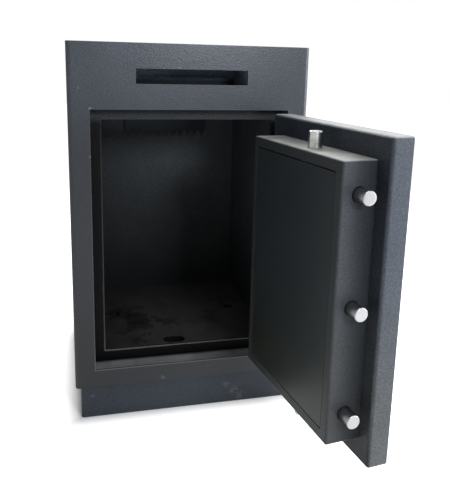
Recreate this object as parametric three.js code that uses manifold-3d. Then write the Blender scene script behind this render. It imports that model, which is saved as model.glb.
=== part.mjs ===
// Front-loading drop safe, shown with its door open and its bolts thrown.
// Millimetres, +Z up, the front faces -Y. The origin is the middle of the plinth's underside.
// The safe is laid out from its front left foot: x to the right, y into the safe, z up from the ground,
// with the door shut. The door's group then turns about the hinge, and the root group centres the whole.

import * as THREE from 'three';
import { mergeVertices } from 'three/addons/utils/BufferGeometryUtils.js';
import Module from 'manifold-3d';

const wasm = await Module();
wasm.setup();

// Clearances
const seat = 0.3;
const running = 0.5;
const overrun = 6;
const doorGap = 4;

// Body
const bodyWidth = 450;
const bodyDepth = 440;
const bodyHeight = 658;
const bodySheet = 4;
const bodyBend = 8;
const plinthHeight = 65;
const plinthSideInset = 10;
const plinthFrontInset = 4;
const plinthSheet = 3;
const plinthCorner = 6;
const plinthFlange = 20;

// Door opening, its rebate and the lip behind it
const frameSideWidth = 39;
const frameHeadHeight = 118;
const sillAboveBody = 36;
const rebateDepth = 40;
const jambSheet = 3;
const lipWidth = 21;
const lipSheet = 5;

// Compartment
const linerSheet = 2;
const sideWall = 45;
const compartmentDepth = 390;
const ceilingAboveLip = 12;
const anchorBore = 24;
const anchorFromWall = 46;
const sleeveWall = 1.5;
const keeperSlotLength = 46;
const keeperSlotWidth = 30;
const keeperSlotShift = 1;
const keeperSlotSetback = 3;
const keeperPocketDepth = 12;

// Deposit slot, its chute and the plates against fishing
const slotFromSide = 121;
const slotHeight = 27;
const slotAboveOpening = 46;
const chuteSheet = 2;
const chuteMargin = 2;
const chuteRun = 135;
const chuteDrop = 48;
const chuteSideHeight = 44;
const deflectorSetback = 108;
const deflectorReach = 31;
const baffleSetback = 15;
const baffleReach = 86;
const baffleFlange = 12;
const baffleShift = 12;
const toothCount = 11;
const toothDepth = 18;

// Hinges, outside the front face
const openAngle = 97;
const hingeBeyondOpening = 8;
const hingeProud = 12;
const knuckleRadius = 9;
const knuckleLength = 36;
const hingePinRadius = 5;
const hingePinHead = 7.5;
const hingePinHeadLength = 3;
const hingeWeb = 8;
const hingeLeafSheet = 4;
const frameLeafWidth = 24;
const doorLeafWidth = 52;
const hingeFromSlabEnd = 62;

// Door slab
const slabThickness = 35;
const panSheet = 3;
const panReturn = 45;
const slabCorner = 2;
const slabRearBend = 5;
const slabFrontBend = 2;

// Boltwork housing on the rear of the slab
const housingFreeMargin = 30;
const housingHingeMargin = 41;
const housingTopMargin = 35;
const housingBottomMargin = 33;
const housingDepth = 56;
const housingSheet = 2.5;
const housingBend = 3;
const housingReturn = 17;
const coverSlit = 2;
const coverSideGap = 0.8;
const coverCorner = 3;
const postRadius = 5;
const postFromReturn = 13;
const screwShankRadius = 2.2;
const screwHeadRadius = 4.5;
const screwHeadDepth = 2;
const screwLength = 14;
const studRadius = 3.5;
const studLength = 12;
const studFlange = 1;
const studFlangeSheet = 2.5;
const studFromRear = 7.6;

// Bolts
const boltRadius = 11;
const boltChamfer = 1;
const boltThrow = 26;
const boltHoleClearance = 1;
const boltDepthInHousing = 27;
const sideBoltFromEnd = 48;
const sideBoltLength = 65;
const boltBarSheet = 6;
const boltBarWidth = 28;
const boltBarPastBolt = 16;
const guideRailSheet = 4;
const guideRailFromSide = 18;
const guideRailDepth = 44;
const guideRailPastBolt = 22;
const endBoltLength = 92;
const endBoltLap = 40;
const guideBlockWidth = 30;
const guideBlockHeight = 12;
const guideBlockFromWall = 8;
const rodSheet = 3.7;
const rodNeckWidth = 18;
const rodFootHeight = 20;
const rodScrewRadius = 3;
const rodScrewHeadRadius = 5;
const rodScrewHeadLength = 3;
const dogRadius = 8;
const dogReach = 34;
const dogFlangeRadius = 13;
const dogFlangeSheet = 5;
const dogFromEnd = 104;

// Cam and handle
const camFromFreeSide = 129;
const camRadius = 31;
const camSheet = 5;
const camDepthInHousing = 17;
const camPinCircle = 26;
const camPinRadius = 4;
const camTurn = 60;
const quarterTurn = 90;
const camSlotClearance = 0.7;
const camSlotEnd = 1;
const camSlotBorder = 5;
const armSheet = 4;
const layerGap = 1;
const spindleRadius = 7;
const spindleNutRadius = 8.5;
const spindleNutLength = 3.5;
const bushWall = 3;
const bushFlangeRadius = 17;
const bushFlangeSheet = 3;
const roseRadius = 26;
const roseSheet = 4;
const handleHubRadius = 14;
const handleHubLength = 26;
const handleReach = 105;
const handleRootHalf = 9;
const handleTipHalf = 6.5;
const handleSheet = 12;
const handleBevel = 2.5;

// Lock and key
const lockWidth = 62;
const lockHeight = 85;
const lockSheet = 2;
const lockFromBarTravel = 3;
const lockAboveCam = 50;
const keyFromLockBottom = 48;
const lockBoltWidth = 12;
const lockBoltDepth = 10;
const lockBoltThrow = 12.5;
const lockBoltInset = 10;
const lockTailWidth = 46;
const lockTailHeight = 40;
const lockTailSheet = 4;
const lockTailTop = 16;
const stopLugWidth = 6;
const stopLugGap = 1;
const stopLugHeight = 14;
const stopLugBelowLock = 4;
const keyShankRadius = 3.5;
const keyBitReach = 11;
const keyBitWidth = 9;
const keyBitSheet = 3;
const keyBowRadius = 15;
const keyBowHole = 8;
const keyBowSheet = 3;
const keyProud = 18;
const escutcheonRadius = 17;
const escutcheonSheet = 2.5;
const keyTubeWall = 1.5;

// Facets on round pieces
const roundSides = 32;
const smallSides = 20;
const nutSides = 6;
const cornerSteps = 4;

// Places worked out from the sizes above
const bodyBottom = plinthHeight;
const bodyTop = plinthHeight + bodyHeight;
const openingLeft = frameSideWidth;
const openingRight = bodyWidth - frameSideWidth;
const sill = bodyBottom + sillAboveBody;
const lintel = bodyTop - frameHeadHeight;
const lipLeft = openingLeft + lipWidth;
const lipRight = openingRight - lipWidth;
const lipBottom = sill + lipWidth;
const lipTop = lintel - lipWidth;
const jambBack = rebateDepth + lipSheet;
const roomLeft = sideWall;
const roomRight = bodyWidth - sideWall;
const roomFloor = lipBottom - seat;
const roomCeiling = lipTop + ceilingAboveLip;
const roomFront = jambBack + seat;
const roomBack = compartmentDepth;
const slotLeft = slotFromSide;
const slotRight = bodyWidth - slotFromSide;
const slotBottom = lintel + slotAboveOpening;
const slotTop = slotBottom + slotHeight;
const hingeX = openingRight + hingeBeyondOpening;
const hingeY = -hingeProud;
const slabLeft = openingLeft + doorGap;
const slabRight = openingRight - doorGap;
const slabBottom = sill + doorGap;
const slabTop = lintel - doorGap;
const housingLeft = slabLeft + housingFreeMargin;
const housingRight = slabRight - housingHingeMargin;
const housingBottom = slabBottom + housingBottomMargin;
const housingTop = slabTop - housingTopMargin;
const housingFront = slabThickness + seat;
const housingBack = slabThickness + housingDepth;
const boltY = slabThickness + boltDepthInHousing;
const boltMidZ = (housingBottom + housingTop) / 2;
const camX = housingLeft + camFromFreeSide;
const camZ = boltMidZ;
const camFront = slabThickness + camDepthInHousing;
const camBack = camFront + camSheet;
const rodFront = camBack + layerGap;
const rodBack = rodFront + rodSheet;
const armFront = rodBack + layerGap;
const armBack = armFront + armSheet;
const barX = housingLeft - boltThrow + sideBoltLength;

// Finishes
const finishes = {
  paint: new THREE.MeshStandardMaterial({ color: 0x3c4046, roughness: 0.5, metalness: 0 }),
  linerPaint: new THREE.MeshStandardMaterial({ color: 0x26292c, roughness: 0.6, metalness: 0 }),
  doorPaint: new THREE.MeshStandardMaterial({ color: 0x41454a, roughness: 0.5, metalness: 0 }),
  turnedSteel: new THREE.MeshStandardMaterial({ color: 0xc9c6bf, roughness: 0.32, metalness: 1 }),
  rolledSteel: new THREE.MeshStandardMaterial({ color: 0x8d9093, roughness: 0.5, metalness: 1 }),
  chromed: new THREE.MeshStandardMaterial({ color: 0xd4d6d8, roughness: 0.15, metalness: 1 }),
  brass: new THREE.MeshStandardMaterial({ color: 0xb9954f, roughness: 0.35, metalness: 1 }),
  castFill: new THREE.MeshStandardMaterial({ color: 0x9c9a92, roughness: 0.95, metalness: 0 }),
};

// Solids

function solid(geometry) {
  const plain = geometry.index ? geometry.clone() : geometry;
  plain.deleteAttribute('normal');
  plain.deleteAttribute('uv');
  const merged = mergeVertices(plain);
  return new wasm.Manifold(new wasm.Mesh({
    numProp: 3,
    vertProperties: new Float32Array(merged.attributes.position.array),
    triVerts: new Uint32Array(merged.index.array),
  }));
}

function geometryOf(manifold) {
  const mesh = manifold.getMesh();
  const geometry = new THREE.BufferGeometry();
  geometry.setAttribute('position', new THREE.BufferAttribute(new Float32Array(mesh.vertProperties), 3));
  geometry.setIndex(new THREE.BufferAttribute(new Uint32Array(mesh.triVerts), 1));
  return geometry;
}

function join(...pieces) {
  return pieces.reduce((whole, piece) => whole.add(piece));
}

function cut(whole, ...tools) {
  return tools.reduce((rest, tool) => rest.subtract(tool), whole);
}

function block(x0, x1, y0, y1, z0, z1) {
  const geometry = new THREE.BoxGeometry(x1 - x0, y1 - y0, z1 - z0);
  return solid(geometry.translate((x0 + x1) / 2, (y0 + y1) / 2, (z0 + z1) / 2));
}

// The plane that an outline is drawn in, with the way it is then pushed
const planes = {
  xy: new THREE.Matrix4(),
  xz: new THREE.Matrix4().makeBasis(
    new THREE.Vector3(1, 0, 0), new THREE.Vector3(0, 0, 1), new THREE.Vector3(0, -1, 0)),
  yz: new THREE.Matrix4().makeBasis(
    new THREE.Vector3(0, 1, 0), new THREE.Vector3(0, 0, 1), new THREE.Vector3(1, 0, 0)),
};

// A flat plate: the outline lies in the plane, and the plate fills from one level to the other.
function plate(plane, outline, from, to, bevel = 0) {
  const shape = Array.isArray(outline) ? new THREE.Shape(outline.map(([u, v]) => new THREE.Vector2(u, v))) : outline;
  const geometry = new THREE.ExtrudeGeometry(shape, {
    depth: to - from - 2 * bevel,
    curveSegments: cornerSteps,
    bevelEnabled: bevel > 0,
    bevelThickness: bevel,
    bevelSize: bevel,
    bevelOffset: -bevel,
    bevelSegments: 2,
  });
  const start = plane === 'xz' ? -to + bevel : from + bevel;
  return solid(geometry.translate(0, 0, start).applyMatrix4(planes[plane]));
}

function roundedRectangle(u0, u1, v0, v1, radius) {
  const shape = new THREE.Shape();
  shape.moveTo(u0 + radius, v0);
  shape.lineTo(u1 - radius, v0);
  shape.absarc(u1 - radius, v0 + radius, radius, -Math.PI / 2, 0);
  shape.lineTo(u1, v1 - radius);
  shape.absarc(u1 - radius, v1 - radius, radius, 0, Math.PI / 2);
  shape.lineTo(u0 + radius, v1);
  shape.absarc(u0 + radius, v1 - radius, radius, Math.PI / 2, Math.PI);
  shape.lineTo(u0, v0 + radius);
  shape.absarc(u0 + radius, v0 + radius, radius, Math.PI, 1.5 * Math.PI);
  return shape;
}

// A round piece turned from a profile of [radius, place along the axis] points
function turned(axis, centre, profile, sides = roundSides) {
  const points = profile.map(([radius, along]) => new THREE.Vector2(radius, along));
  const geometry = new THREE.LatheGeometry(points, sides);
  if (axis === 'x') geometry.rotateZ(-Math.PI / 2);
  if (axis === 'z') geometry.rotateX(Math.PI / 2);
  return solid(geometry.translate(...centre));
}

function rod(axis, centre, radius, from, to, sides = roundSides) {
  return turned(axis, centre, [[0, from], [radius, from], [radius, to], [0, to]], sides);
}

function chamferedRod(axis, centre, radius, from, to, chamfer) {
  return turned(axis, centre, [
    [0, from], [radius, from], [radius, to - chamfer], [radius - chamfer, to], [0, to],
  ]);
}

function tube(axis, centre, inner, outer, from, to, sides = roundSides) {
  return turned(axis, centre, [[inner, from], [outer, from], [outer, to], [inner, to], [inner, from]], sides);
}

// A tray or casing whose outline is a rounded rectangle in x and z, with rounded edges at its two faces
function roundedSlab(x0, x1, z0, z1, y0, y1, corner, frontBend, backBend) {
  const rings = [];
  for (let step = 0; step <= cornerSteps; step += 1) {
    const angle = (step / cornerSteps) * Math.PI / 2;
    rings.push([frontBend * (1 - Math.sin(angle)), y0 + frontBend * (1 - Math.cos(angle))]);
  }
  for (let step = 0; step <= cornerSteps; step += 1) {
    const angle = (step / cornerSteps) * Math.PI / 2;
    rings.push([backBend * (1 - Math.cos(angle)), y1 - backBend * (1 - Math.sin(angle))]);
  }
  const outerCorner = Math.max(corner, frontBend, backBend);
  const sections = rings.map(([inset, y]) => {
    const radius = Math.max(outerCorner - inset, outerCorner / roundSides);
    const shape = roundedRectangle(x0 + inset, x1 - inset, z0 + inset, z1 - inset, radius);
    return shape.getPoints(cornerSteps).slice(0, -1).map((point) => [point.x, y, point.y]);
  });
  return loft(sections);
}

// A closed skin over sections of equally many points, flat at both ends
function loft(sections) {
  const count = sections[0].length;
  const last = sections.length - 1;
  const positions = sections.flat(2);
  const index = [];
  for (let ring = 0; ring < last; ring += 1) {
    for (let i = 0; i < count; i += 1) {
      const next = (i + 1) % count;
      const a = ring * count + i;
      const b = ring * count + next;
      index.push(a, a + count, b, b, a + count, b + count);
    }
  }
  for (let i = 1; i < count - 1; i += 1) {
    index.push(0, i, i + 1);
    index.push(last * count, last * count + i + 1, last * count + i);
  }
  const geometry = new THREE.BufferGeometry();
  geometry.setAttribute('position', new THREE.BufferAttribute(new Float32Array(positions), 3));
  geometry.setIndex(index);
  return solid(geometry);
}

function part(group, name, manifold, finish) {
  const mesh = new THREE.Mesh(geometryOf(manifold), finishes[finish]);
  mesh.name = name;
  group.add(mesh);
}

// Cabinet

// The front and both sides are one sheet, bent round the two upright front corners.
function bodyWrap() {
  const outline = new THREE.Shape();
  outline.moveTo(0, bodyDepth);
  outline.lineTo(0, bodyBend);
  outline.absarc(bodyBend, bodyBend, bodyBend, Math.PI, 1.5 * Math.PI);
  outline.lineTo(bodyWidth - bodyBend, 0);
  outline.absarc(bodyWidth - bodyBend, bodyBend, bodyBend, -Math.PI / 2, 0);
  outline.lineTo(bodyWidth, bodyDepth);
  outline.lineTo(bodyWidth - bodySheet, bodyDepth);
  outline.lineTo(bodyWidth - bodySheet, bodyBend);
  outline.absarc(bodyWidth - bodyBend, bodyBend, bodyBend - bodySheet, 0, -Math.PI / 2, true);
  outline.lineTo(bodyBend, bodySheet);
  outline.absarc(bodyBend, bodyBend, bodyBend - bodySheet, 1.5 * Math.PI, Math.PI, true);
  outline.lineTo(bodySheet, bodyDepth);
  return cut(
    plate('xy', outline, bodyBottom, bodyTop),
    block(openingLeft, openingRight, -overrun, bodySheet + overrun, sill, lintel),
    block(slotLeft, slotRight, -overrun, bodySheet + overrun, slotBottom, slotTop),
  );
}

// A plate that lies inside the wrap, cut round its bent corners
function insetPlate(z0, z1) {
  const inset = bodySheet + seat;
  const front = roundedRectangle(inset, bodyWidth - inset, inset, bodyDepth, bodyBend - inset);
  const back = block(0, bodyWidth, bodyDepth - inset, bodyDepth + overrun, z0 - overrun, z1 + overrun);
  return cut(plate('xy', front, z0, z1), back);
}

const anchorPlaces = [roomLeft + anchorFromWall, roomRight - anchorFromWall].map((x) => [x, (jambBack + roomBack) / 2]);

function anchorBores(radius, from, to) {
  return anchorPlaces.map(([x, y]) => rod('z', [x, y, 0], radius, from, to, smallSides));
}

// A folded frame round the door opening: the return that the slab sits in, and the lip that the bolts catch
function doorJamb() {
  const outer = block(
    openingLeft - jambSheet, openingRight + jambSheet, bodySheet + seat, jambBack, sill - jambSheet, lintel + jambSheet);
  const rebate = block(openingLeft, openingRight, -overrun, rebateDepth, sill, lintel);
  const inside = block(lipLeft, lipRight, -overrun, jambBack + overrun, lipBottom, lipTop);
  return cut(outer, rebate, inside);
}

const dropFront = bodySheet + seat + chuteRun;
const baffleBack = roomBack - baffleSetback;

function liner() {
  const outer = block(
    roomLeft - linerSheet, roomRight + linerSheet, roomFront, roomBack + linerSheet,
    roomFloor - linerSheet, roomCeiling + linerSheet);
  const room = block(roomLeft, roomRight, roomFront - overrun, roomBack, roomFloor, roomCeiling);
  const drop = block(
    slotLeft - chuteMargin, slotRight + chuteMargin, dropFront, baffleBack,
    roomCeiling - overrun, roomCeiling + linerSheet + overrun);
  const keeper = keeperSlot(keeperSlotLength, keeperSlotWidth, roomFloor - linerSheet - overrun, roomFloor + overrun);
  return cut(outer, room, drop, keeper, ...anchorBores(anchorBore / 2, roomFloor - linerSheet - overrun, roomFloor + overrun));
}

// The oval hole in the floor that takes the bottom bolt
function keeperSlot(length, width, from, to) {
  const x = camX + keeperSlotShift;
  const y = boltY + keeperSlotSetback;
  const oval = roundedRectangle(x - length / 2, x + length / 2, y - width / 2, y + width / 2, width / 2 - seat);
  return plate('xy', oval, from, to);
}

// Cast filling between the body and the liner, on both sides, at the back and underneath
function wallFilling() {
  const inset = bodySheet + 2 * seat;
  const bottom = bodyBottom + bodySheet + seat;
  const top = roomCeiling + linerSheet;
  const lining = linerSheet + seat;
  const outer = block(inset + bodyBend - bodySheet, bodyWidth - inset - bodyBend + bodySheet,
    inset, bodyDepth - inset - seat, bottom, top);
  const room = block(roomLeft - lining, roomRight + lining, roomFront - seat - overrun, roomBack + lining,
    roomFloor - lining, top + overrun);
  const jamb = block(
    openingLeft - jambSheet - seat, openingRight + jambSheet + seat, -overrun, jambBack + seat,
    sill - jambSheet - seat, top + overrun);
  const pocket = keeperSlot(keeperSlotLength, keeperSlotWidth, roomFloor - lining - keeperPocketDepth, roomFloor);
  const sleeves = anchorBores(anchorBore / 2 + sleeveWall + seat, bottom - overrun, roomFloor);
  return cut(outer, room, jamb, pocket, ...sleeves);
}

function plinth() {
  const x0 = plinthSideInset;
  const x1 = bodyWidth - plinthSideInset;
  const y0 = plinthFrontInset;
  const y1 = bodyDepth - plinthFrontInset;
  const top = plinthHeight - seat;
  const outer = plate('xy', roundedRectangle(x0, x1, y0, y1, plinthCorner), 0, top);
  const hollow = block(
    x0 + plinthSheet, x1 - plinthSheet, y0 + plinthSheet, y1 - plinthSheet, plinthSheet, top - plinthSheet);
  const mouth = block(
    x0 + plinthFlange, x1 - plinthFlange, y0 + plinthFlange, y1 - plinthFlange, plinthSheet, top + overrun);
  return cut(outer, hollow, mouth, ...anchorBores(anchorBore / 2, -overrun, plinthSheet + overrun));
}

const chuteTop = slotBottom - seat;
const chuteFront = bodySheet + seat;
const chuteLeft = slotLeft - chuteMargin;
const chuteRight = slotRight + chuteMargin;

// A folded tray under the slot: it falls towards the drop opening, with a wall on each side
function depositChute() {
  const end = chuteFront + chuteRun;
  const floor = plate('yz', [
    [chuteFront, chuteTop], [chuteFront, chuteTop - chuteSheet],
    [end, chuteTop - chuteDrop - chuteSheet], [end, chuteTop - chuteDrop],
  ], chuteLeft, chuteRight);
  const wallOutline = [
    [chuteFront, chuteTop - chuteSheet], [end, chuteTop - chuteDrop - chuteSheet],
    [end, chuteTop + chuteSideHeight], [chuteFront, chuteTop + chuteSideHeight],
  ];
  return join(
    floor,
    plate('yz', wallOutline, chuteLeft - chuteSheet, chuteLeft),
    plate('yz', wallOutline, chuteRight, chuteRight + chuteSheet),
  );
}

// A plate that hangs from the roof behind the slot, so that nothing reaches in over the chute
function slotDeflector() {
  const top = bodyTop - bodySheet - seat;
  const low = slotTop - deflectorReach;
  const y = deflectorSetback;
  return join(
    block(chuteLeft + running, chuteRight - running, y, y + chuteSheet, low, top),
    block(chuteLeft + running, chuteRight - running, y, y + baffleFlange, top - chuteSheet, top),
  );
}

// The saw-toothed plate that hangs into the compartment at the rear of the drop opening
function toothedBaffle() {
  const ceiling = roomCeiling + linerSheet + seat;
  const y1 = baffleBack - seat;
  const low = ceiling - baffleReach;
  const left = slotLeft + baffleShift;
  const pitch = (slotRight - left) / toothCount;
  const outline = [[left, ceiling + chuteSheet], [left, low + toothDepth]];
  for (let tooth = 0; tooth < toothCount; tooth += 1) {
    outline.push([left + (tooth + 0.5) * pitch, low]);
    outline.push([left + (tooth + 1) * pitch, low + toothDepth]);
  }
  outline.push([slotRight, ceiling + chuteSheet]);
  return join(
    plate('xz', outline, y1 - chuteSheet, y1),
    block(left, slotRight, y1 - chuteSheet, y1 + baffleFlange, ceiling, ceiling + chuteSheet),
  );
}

// Each hinge has a lower knuckle on the cabinet, an upper one on the door and a headed pin.
const hingePlaces = { upper: slabTop - hingeFromSlabEnd, lower: slabBottom + hingeFromSlabEnd };

function knuckle(z0, z1, leaf) {
  const barrel = rod('z', [hingeX, hingeY, 0], knuckleRadius, z0, z1);
  const bore = rod('z', [hingeX, hingeY, 0], hingePinRadius + running / 2, z0 - overrun, z1 + overrun, smallSides);
  return cut(join(barrel, leaf), bore);
}

function frameKnuckle(z) {
  const leaf = join(
    block(hingeX - hingeWeb / 2, hingeX + frameLeafWidth, -hingeLeafSheet, -seat, z - knuckleLength, z - seat),
    block(hingeX - hingeWeb / 2, hingeX + hingeWeb / 2, hingeY, -seat, z - knuckleLength, z - seat),
  );
  return knuckle(z - knuckleLength, z - seat, leaf);
}

function doorKnuckle(z) {
  const leafEnd = slabRight - doorLeafWidth;
  const leaf = join(
    block(leafEnd, slabRight, -hingeLeafSheet, -seat, z + seat, z + knuckleLength),
    block(slabRight - hingeWeb, hingeX, hingeY, -hingeLeafSheet / 2, z + seat, z + knuckleLength),
  );
  return knuckle(z + seat, z + knuckleLength, leaf);
}

function hingePin(z) {
  const top = z + knuckleLength + seat;
  return turned('z', [hingeX, hingeY, 0], [
    [0, z - knuckleLength], [hingePinRadius, z - knuckleLength], [hingePinRadius, top],
    [hingePinHead, top], [hingePinHead, top + hingePinHeadLength], [0, top + hingePinHeadLength],
  ], smallSides);
}

function buildCabinet() {
  const cabinet = new THREE.Group();
  const inset = bodySheet + seat;
  const roofBottom = bodyTop - bodySheet;
  part(cabinet, 'body_wrap', bodyWrap(), 'paint');
  part(cabinet, 'roof_plate', insetPlate(roofBottom, bodyTop), 'paint');
  part(cabinet, 'base_plate', cut(
    insetPlate(bodyBottom, bodyBottom + bodySheet),
    ...anchorBores(anchorBore / 2, bodyBottom - overrun, bodyBottom + bodySheet + overrun)), 'paint');
  part(cabinet, 'back_plate',
    block(inset, bodyWidth - inset, bodyDepth - bodySheet, bodyDepth, bodyBottom, bodyTop), 'paint');
  part(cabinet, 'plinth', plinth(), 'paint');
  part(cabinet, 'door_jamb', doorJamb(), 'paint');
  part(cabinet, 'inner_liner', liner(), 'linerPaint');
  part(cabinet, 'wall_filling', wallFilling(), 'castFill');
  part(cabinet, 'deposit_chute', depositChute(), 'linerPaint');
  part(cabinet, 'slot_deflector', slotDeflector(), 'linerPaint');
  part(cabinet, 'toothed_baffle', toothedBaffle(), 'linerPaint');
  for (const [name, [x, y]] of [['left', anchorPlaces[0]], ['right', anchorPlaces[1]]]) {
    const sleeve = tube('z', [x, y, 0], anchorBore / 2, anchorBore / 2 + sleeveWall,
      bodyBottom + bodySheet + seat, roomFloor - linerSheet - seat, smallSides);
    part(cabinet, `anchor_sleeve_${name}`, sleeve, 'rolledSteel');
  }
  for (const [name, z] of Object.entries(hingePlaces)) {
    part(cabinet, `hinge_knuckle_frame_${name}`, frameKnuckle(z), 'paint');
    part(cabinet, `hinge_pin_${name}`, hingePin(z), 'turnedSteel');
  }
  return cabinet;
}

// Door

// The slab is a folded pan: its rear edges are bent over and returned under the boltwork housing.
function doorPan() {
  const shell = roundedSlab(slabLeft, slabRight, slabBottom, slabTop, 0, slabThickness,
    slabCorner, slabFrontBend, slabRearBend);
  const hollow = block(
    slabLeft + slabRearBend, slabRight - slabRearBend, panSheet, slabThickness - panSheet,
    slabBottom + slabRearBend, slabTop - slabRearBend);
  const window = block(
    slabLeft + panReturn, slabRight - panReturn, panSheet, slabThickness + overrun,
    slabBottom + panReturn, slabTop - panReturn);
  return cut(shell, hollow, window, ...doorBores(-overrun, slabThickness + overrun));
}

const bushRadius = spindleRadius + running + bushWall;
const barTravelEnd = barX + boltBarSheet + boltThrow;
const lockLeft = barTravelEnd + lockFromBarTravel;
const lockBottom = camZ + lockAboveCam;
const lockFront = housingFront + seat;
const lockBack = rodFront - 2 * seat - rodScrewHeadLength - running;
const keyX = lockLeft + lockWidth / 2;
const keyZ = lockBottom + keyFromLockBottom;
const keyTubeRadius = keyBitReach + running + keyTubeWall;

// The two bores through the slab: one for the spindle's bush, one for the tube that the key goes in by
function doorBores(from, to) {
  return [
    rod('y', [camX, 0, camZ], bushRadius + seat, from, to),
    rod('y', [keyX, 0, keyZ], keyTubeRadius + seat, from, to),
  ];
}

function doorFilling() {
  const fill = block(
    slabLeft + slabRearBend + seat, slabRight - slabRearBend - seat, panSheet + seat, slabThickness - panSheet - seat,
    slabBottom + slabRearBend + seat, slabTop - slabRearBend - seat);
  return cut(fill, ...doorBores(-overrun, slabThickness + overrun));
}

// The plate that closes the pan, with the four posts welded on that hold the boltwork's cover
function doorInnerPlate() {
  const sheet = block(
    slabLeft + panReturn + seat, slabRight - panReturn - seat, slabThickness - panSheet, slabThickness,
    slabBottom + panReturn + seat, slabTop - panReturn - seat);
  const posts = Object.values(postPlaces);
  return cut(
    join(sheet, ...posts.map((place) => coverPost(place))),
    ...posts.map(([x, z]) => rod('y', [x, 0, z], screwShankRadius + seat,
      housingBack - screwLength - seat, housingBack, smallSides)),
    ...doorBores(-overrun, slabThickness + overrun));
}

const sideBoltHeights = { upper: housingTop - sideBoltFromEnd, middle: boltMidZ, lower: housingBottom + sideBoltFromEnd };
const dogHeights = { upper: housingTop - dogFromEnd, lower: housingBottom + dogFromEnd };

// A folded casing with returns round its rear, open where the cover lies, and bored for bolts and dogs
function boltworkHousing() {
  const casing = roundedSlab(housingLeft, housingRight, housingBottom, housingTop, housingFront, housingBack,
    housingBend, 0, housingBend);
  const hollow = block(
    housingLeft + housingSheet, housingRight - housingSheet, housingFront - overrun, housingBack - housingSheet,
    housingBottom + housingSheet, housingTop - housingSheet);
  const mouth = block(
    housingLeft + housingReturn, housingRight - housingReturn, housingFront, housingBack + overrun,
    housingBottom + housingReturn, housingTop - housingReturn);
  const boltHole = boltRadius + boltHoleClearance;
  const sides = Object.values(sideBoltHeights).map((z) => rod('x', [housingLeft, boltY, z], boltHole, -overrun, overrun));
  const ends = [housingTop, housingBottom].map((z) => rod('z', [camX, boltY, z], boltHole, -overrun, overrun));
  const dogs = Object.values(dogHeights).map((z) => rod('x', [housingRight, boltY, z], dogRadius + seat, -overrun, overrun));
  const stud = rod('x', [housingRight, studY, boltMidZ], studRadius + seat, -overrun, overrun, smallSides);
  return cut(casing, hollow, mouth, ...sides, ...ends, ...dogs, stud);
}

const studY = housingBack - studFromRear;
const coverLeft = housingLeft + housingReturn + coverSideGap;
const coverRight = housingRight - housingReturn - coverSideGap;
const coverBottom = housingBottom + housingReturn + coverSlit;
const coverTop = housingTop - housingReturn - coverSlit;
const coverFront = housingBack - housingSheet;
const postPlaces = {
  upper_free: [coverLeft + postFromReturn, coverTop - postFromReturn + coverSlit],
  upper_hinge: [coverRight - postFromReturn, coverTop - postFromReturn + coverSlit],
  lower_free: [coverLeft + postFromReturn, coverBottom + postFromReturn - coverSlit],
  lower_hinge: [coverRight - postFromReturn, coverBottom + postFromReturn - coverSlit],
};

function boltworkCover() {
  const sheet = plate('xz', roundedRectangle(coverLeft, coverRight, coverBottom, coverTop, coverCorner),
    coverFront, housingBack);
  const holes = Object.values(postPlaces).map(([x, z]) => turned('y', [x, 0, z], [
    [0, coverFront - overrun], [screwShankRadius + running, coverFront - overrun],
    [screwShankRadius + running, coverFront], [screwHeadRadius + seat, housingBack + seat], [0, housingBack + seat],
  ], smallSides));
  return cut(sheet, ...holes);
}

function coverPost([x, z]) {
  return rod('y', [x, 0, z], postRadius, slabThickness - panSheet / 2, coverFront - seat, smallSides);
}

function coverScrew([x, z]) {
  return turned('y', [x, 0, z], [
    [0, housingBack - screwLength], [screwShankRadius, housingBack - screwLength],
    [screwShankRadius, housingBack - screwHeadDepth], [screwHeadRadius, housingBack], [0, housingBack],
  ], smallSides);
}

// A dog is fixed: it stands out on the hinge side and goes behind the lip as the door shuts.
function hingeSideDog(z) {
  const wall = housingRight - housingSheet - seat;
  return turned('x', [0, boltY, z], [
    [0, wall - dogFlangeSheet], [dogFlangeRadius, wall - dogFlangeSheet], [dogFlangeRadius, wall], [dogRadius, wall],
    [dogRadius, housingRight + dogReach - boltChamfer], [dogRadius - boltChamfer, housingRight + dogReach],
    [0, housingRight + dogReach],
  ], smallSides);
}

function hingeSideStud() {
  const wall = housingRight - housingSheet - seat;
  return turned('x', [0, studY, boltMidZ], [
    [0, wall - studFlangeSheet], [studRadius + studFlange, wall - studFlangeSheet], [studRadius + studFlange, wall],
    [studRadius, wall], [studRadius, housingRight + studLength], [0, housingRight + studLength],
  ], smallSides);
}

// Guides for the bolts

function sideGuideRail() {
  const x = housingLeft + guideRailFromSide;
  const far = sideBoltHeights.upper - boltMidZ + guideRailPastBolt - boltRadius;
  const rail = block(x, x + guideRailSheet, housingFront, housingFront + guideRailDepth, boltMidZ - far, boltMidZ + far);
  const holes = Object.values(sideBoltHeights).map((z) => rod('x', [x, boltY, z], boltRadius + running, -overrun,
    guideRailSheet + overrun));
  return cut(rail, ...holes);
}

// End bolts move up and down. side is 1 for the top bolt and -1 for the bottom one.
function endBoltGuide(side) {
  const wall = side > 0 ? housingTop - housingSheet : housingBottom + housingSheet;
  const near = wall - side * guideBlockFromWall;
  const far = near - side * guideBlockHeight;
  const body = block(camX - guideBlockWidth / 2, camX + guideBlockWidth / 2, housingFront, boltY + guideBlockWidth / 2,
    Math.min(near, far), Math.max(near, far));
  const bore = rod('z', [camX, boltY, 0], boltRadius + running, Math.min(near, far) - overrun, Math.max(near, far) + overrun);
  return cut(body, bore);
}

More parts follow.
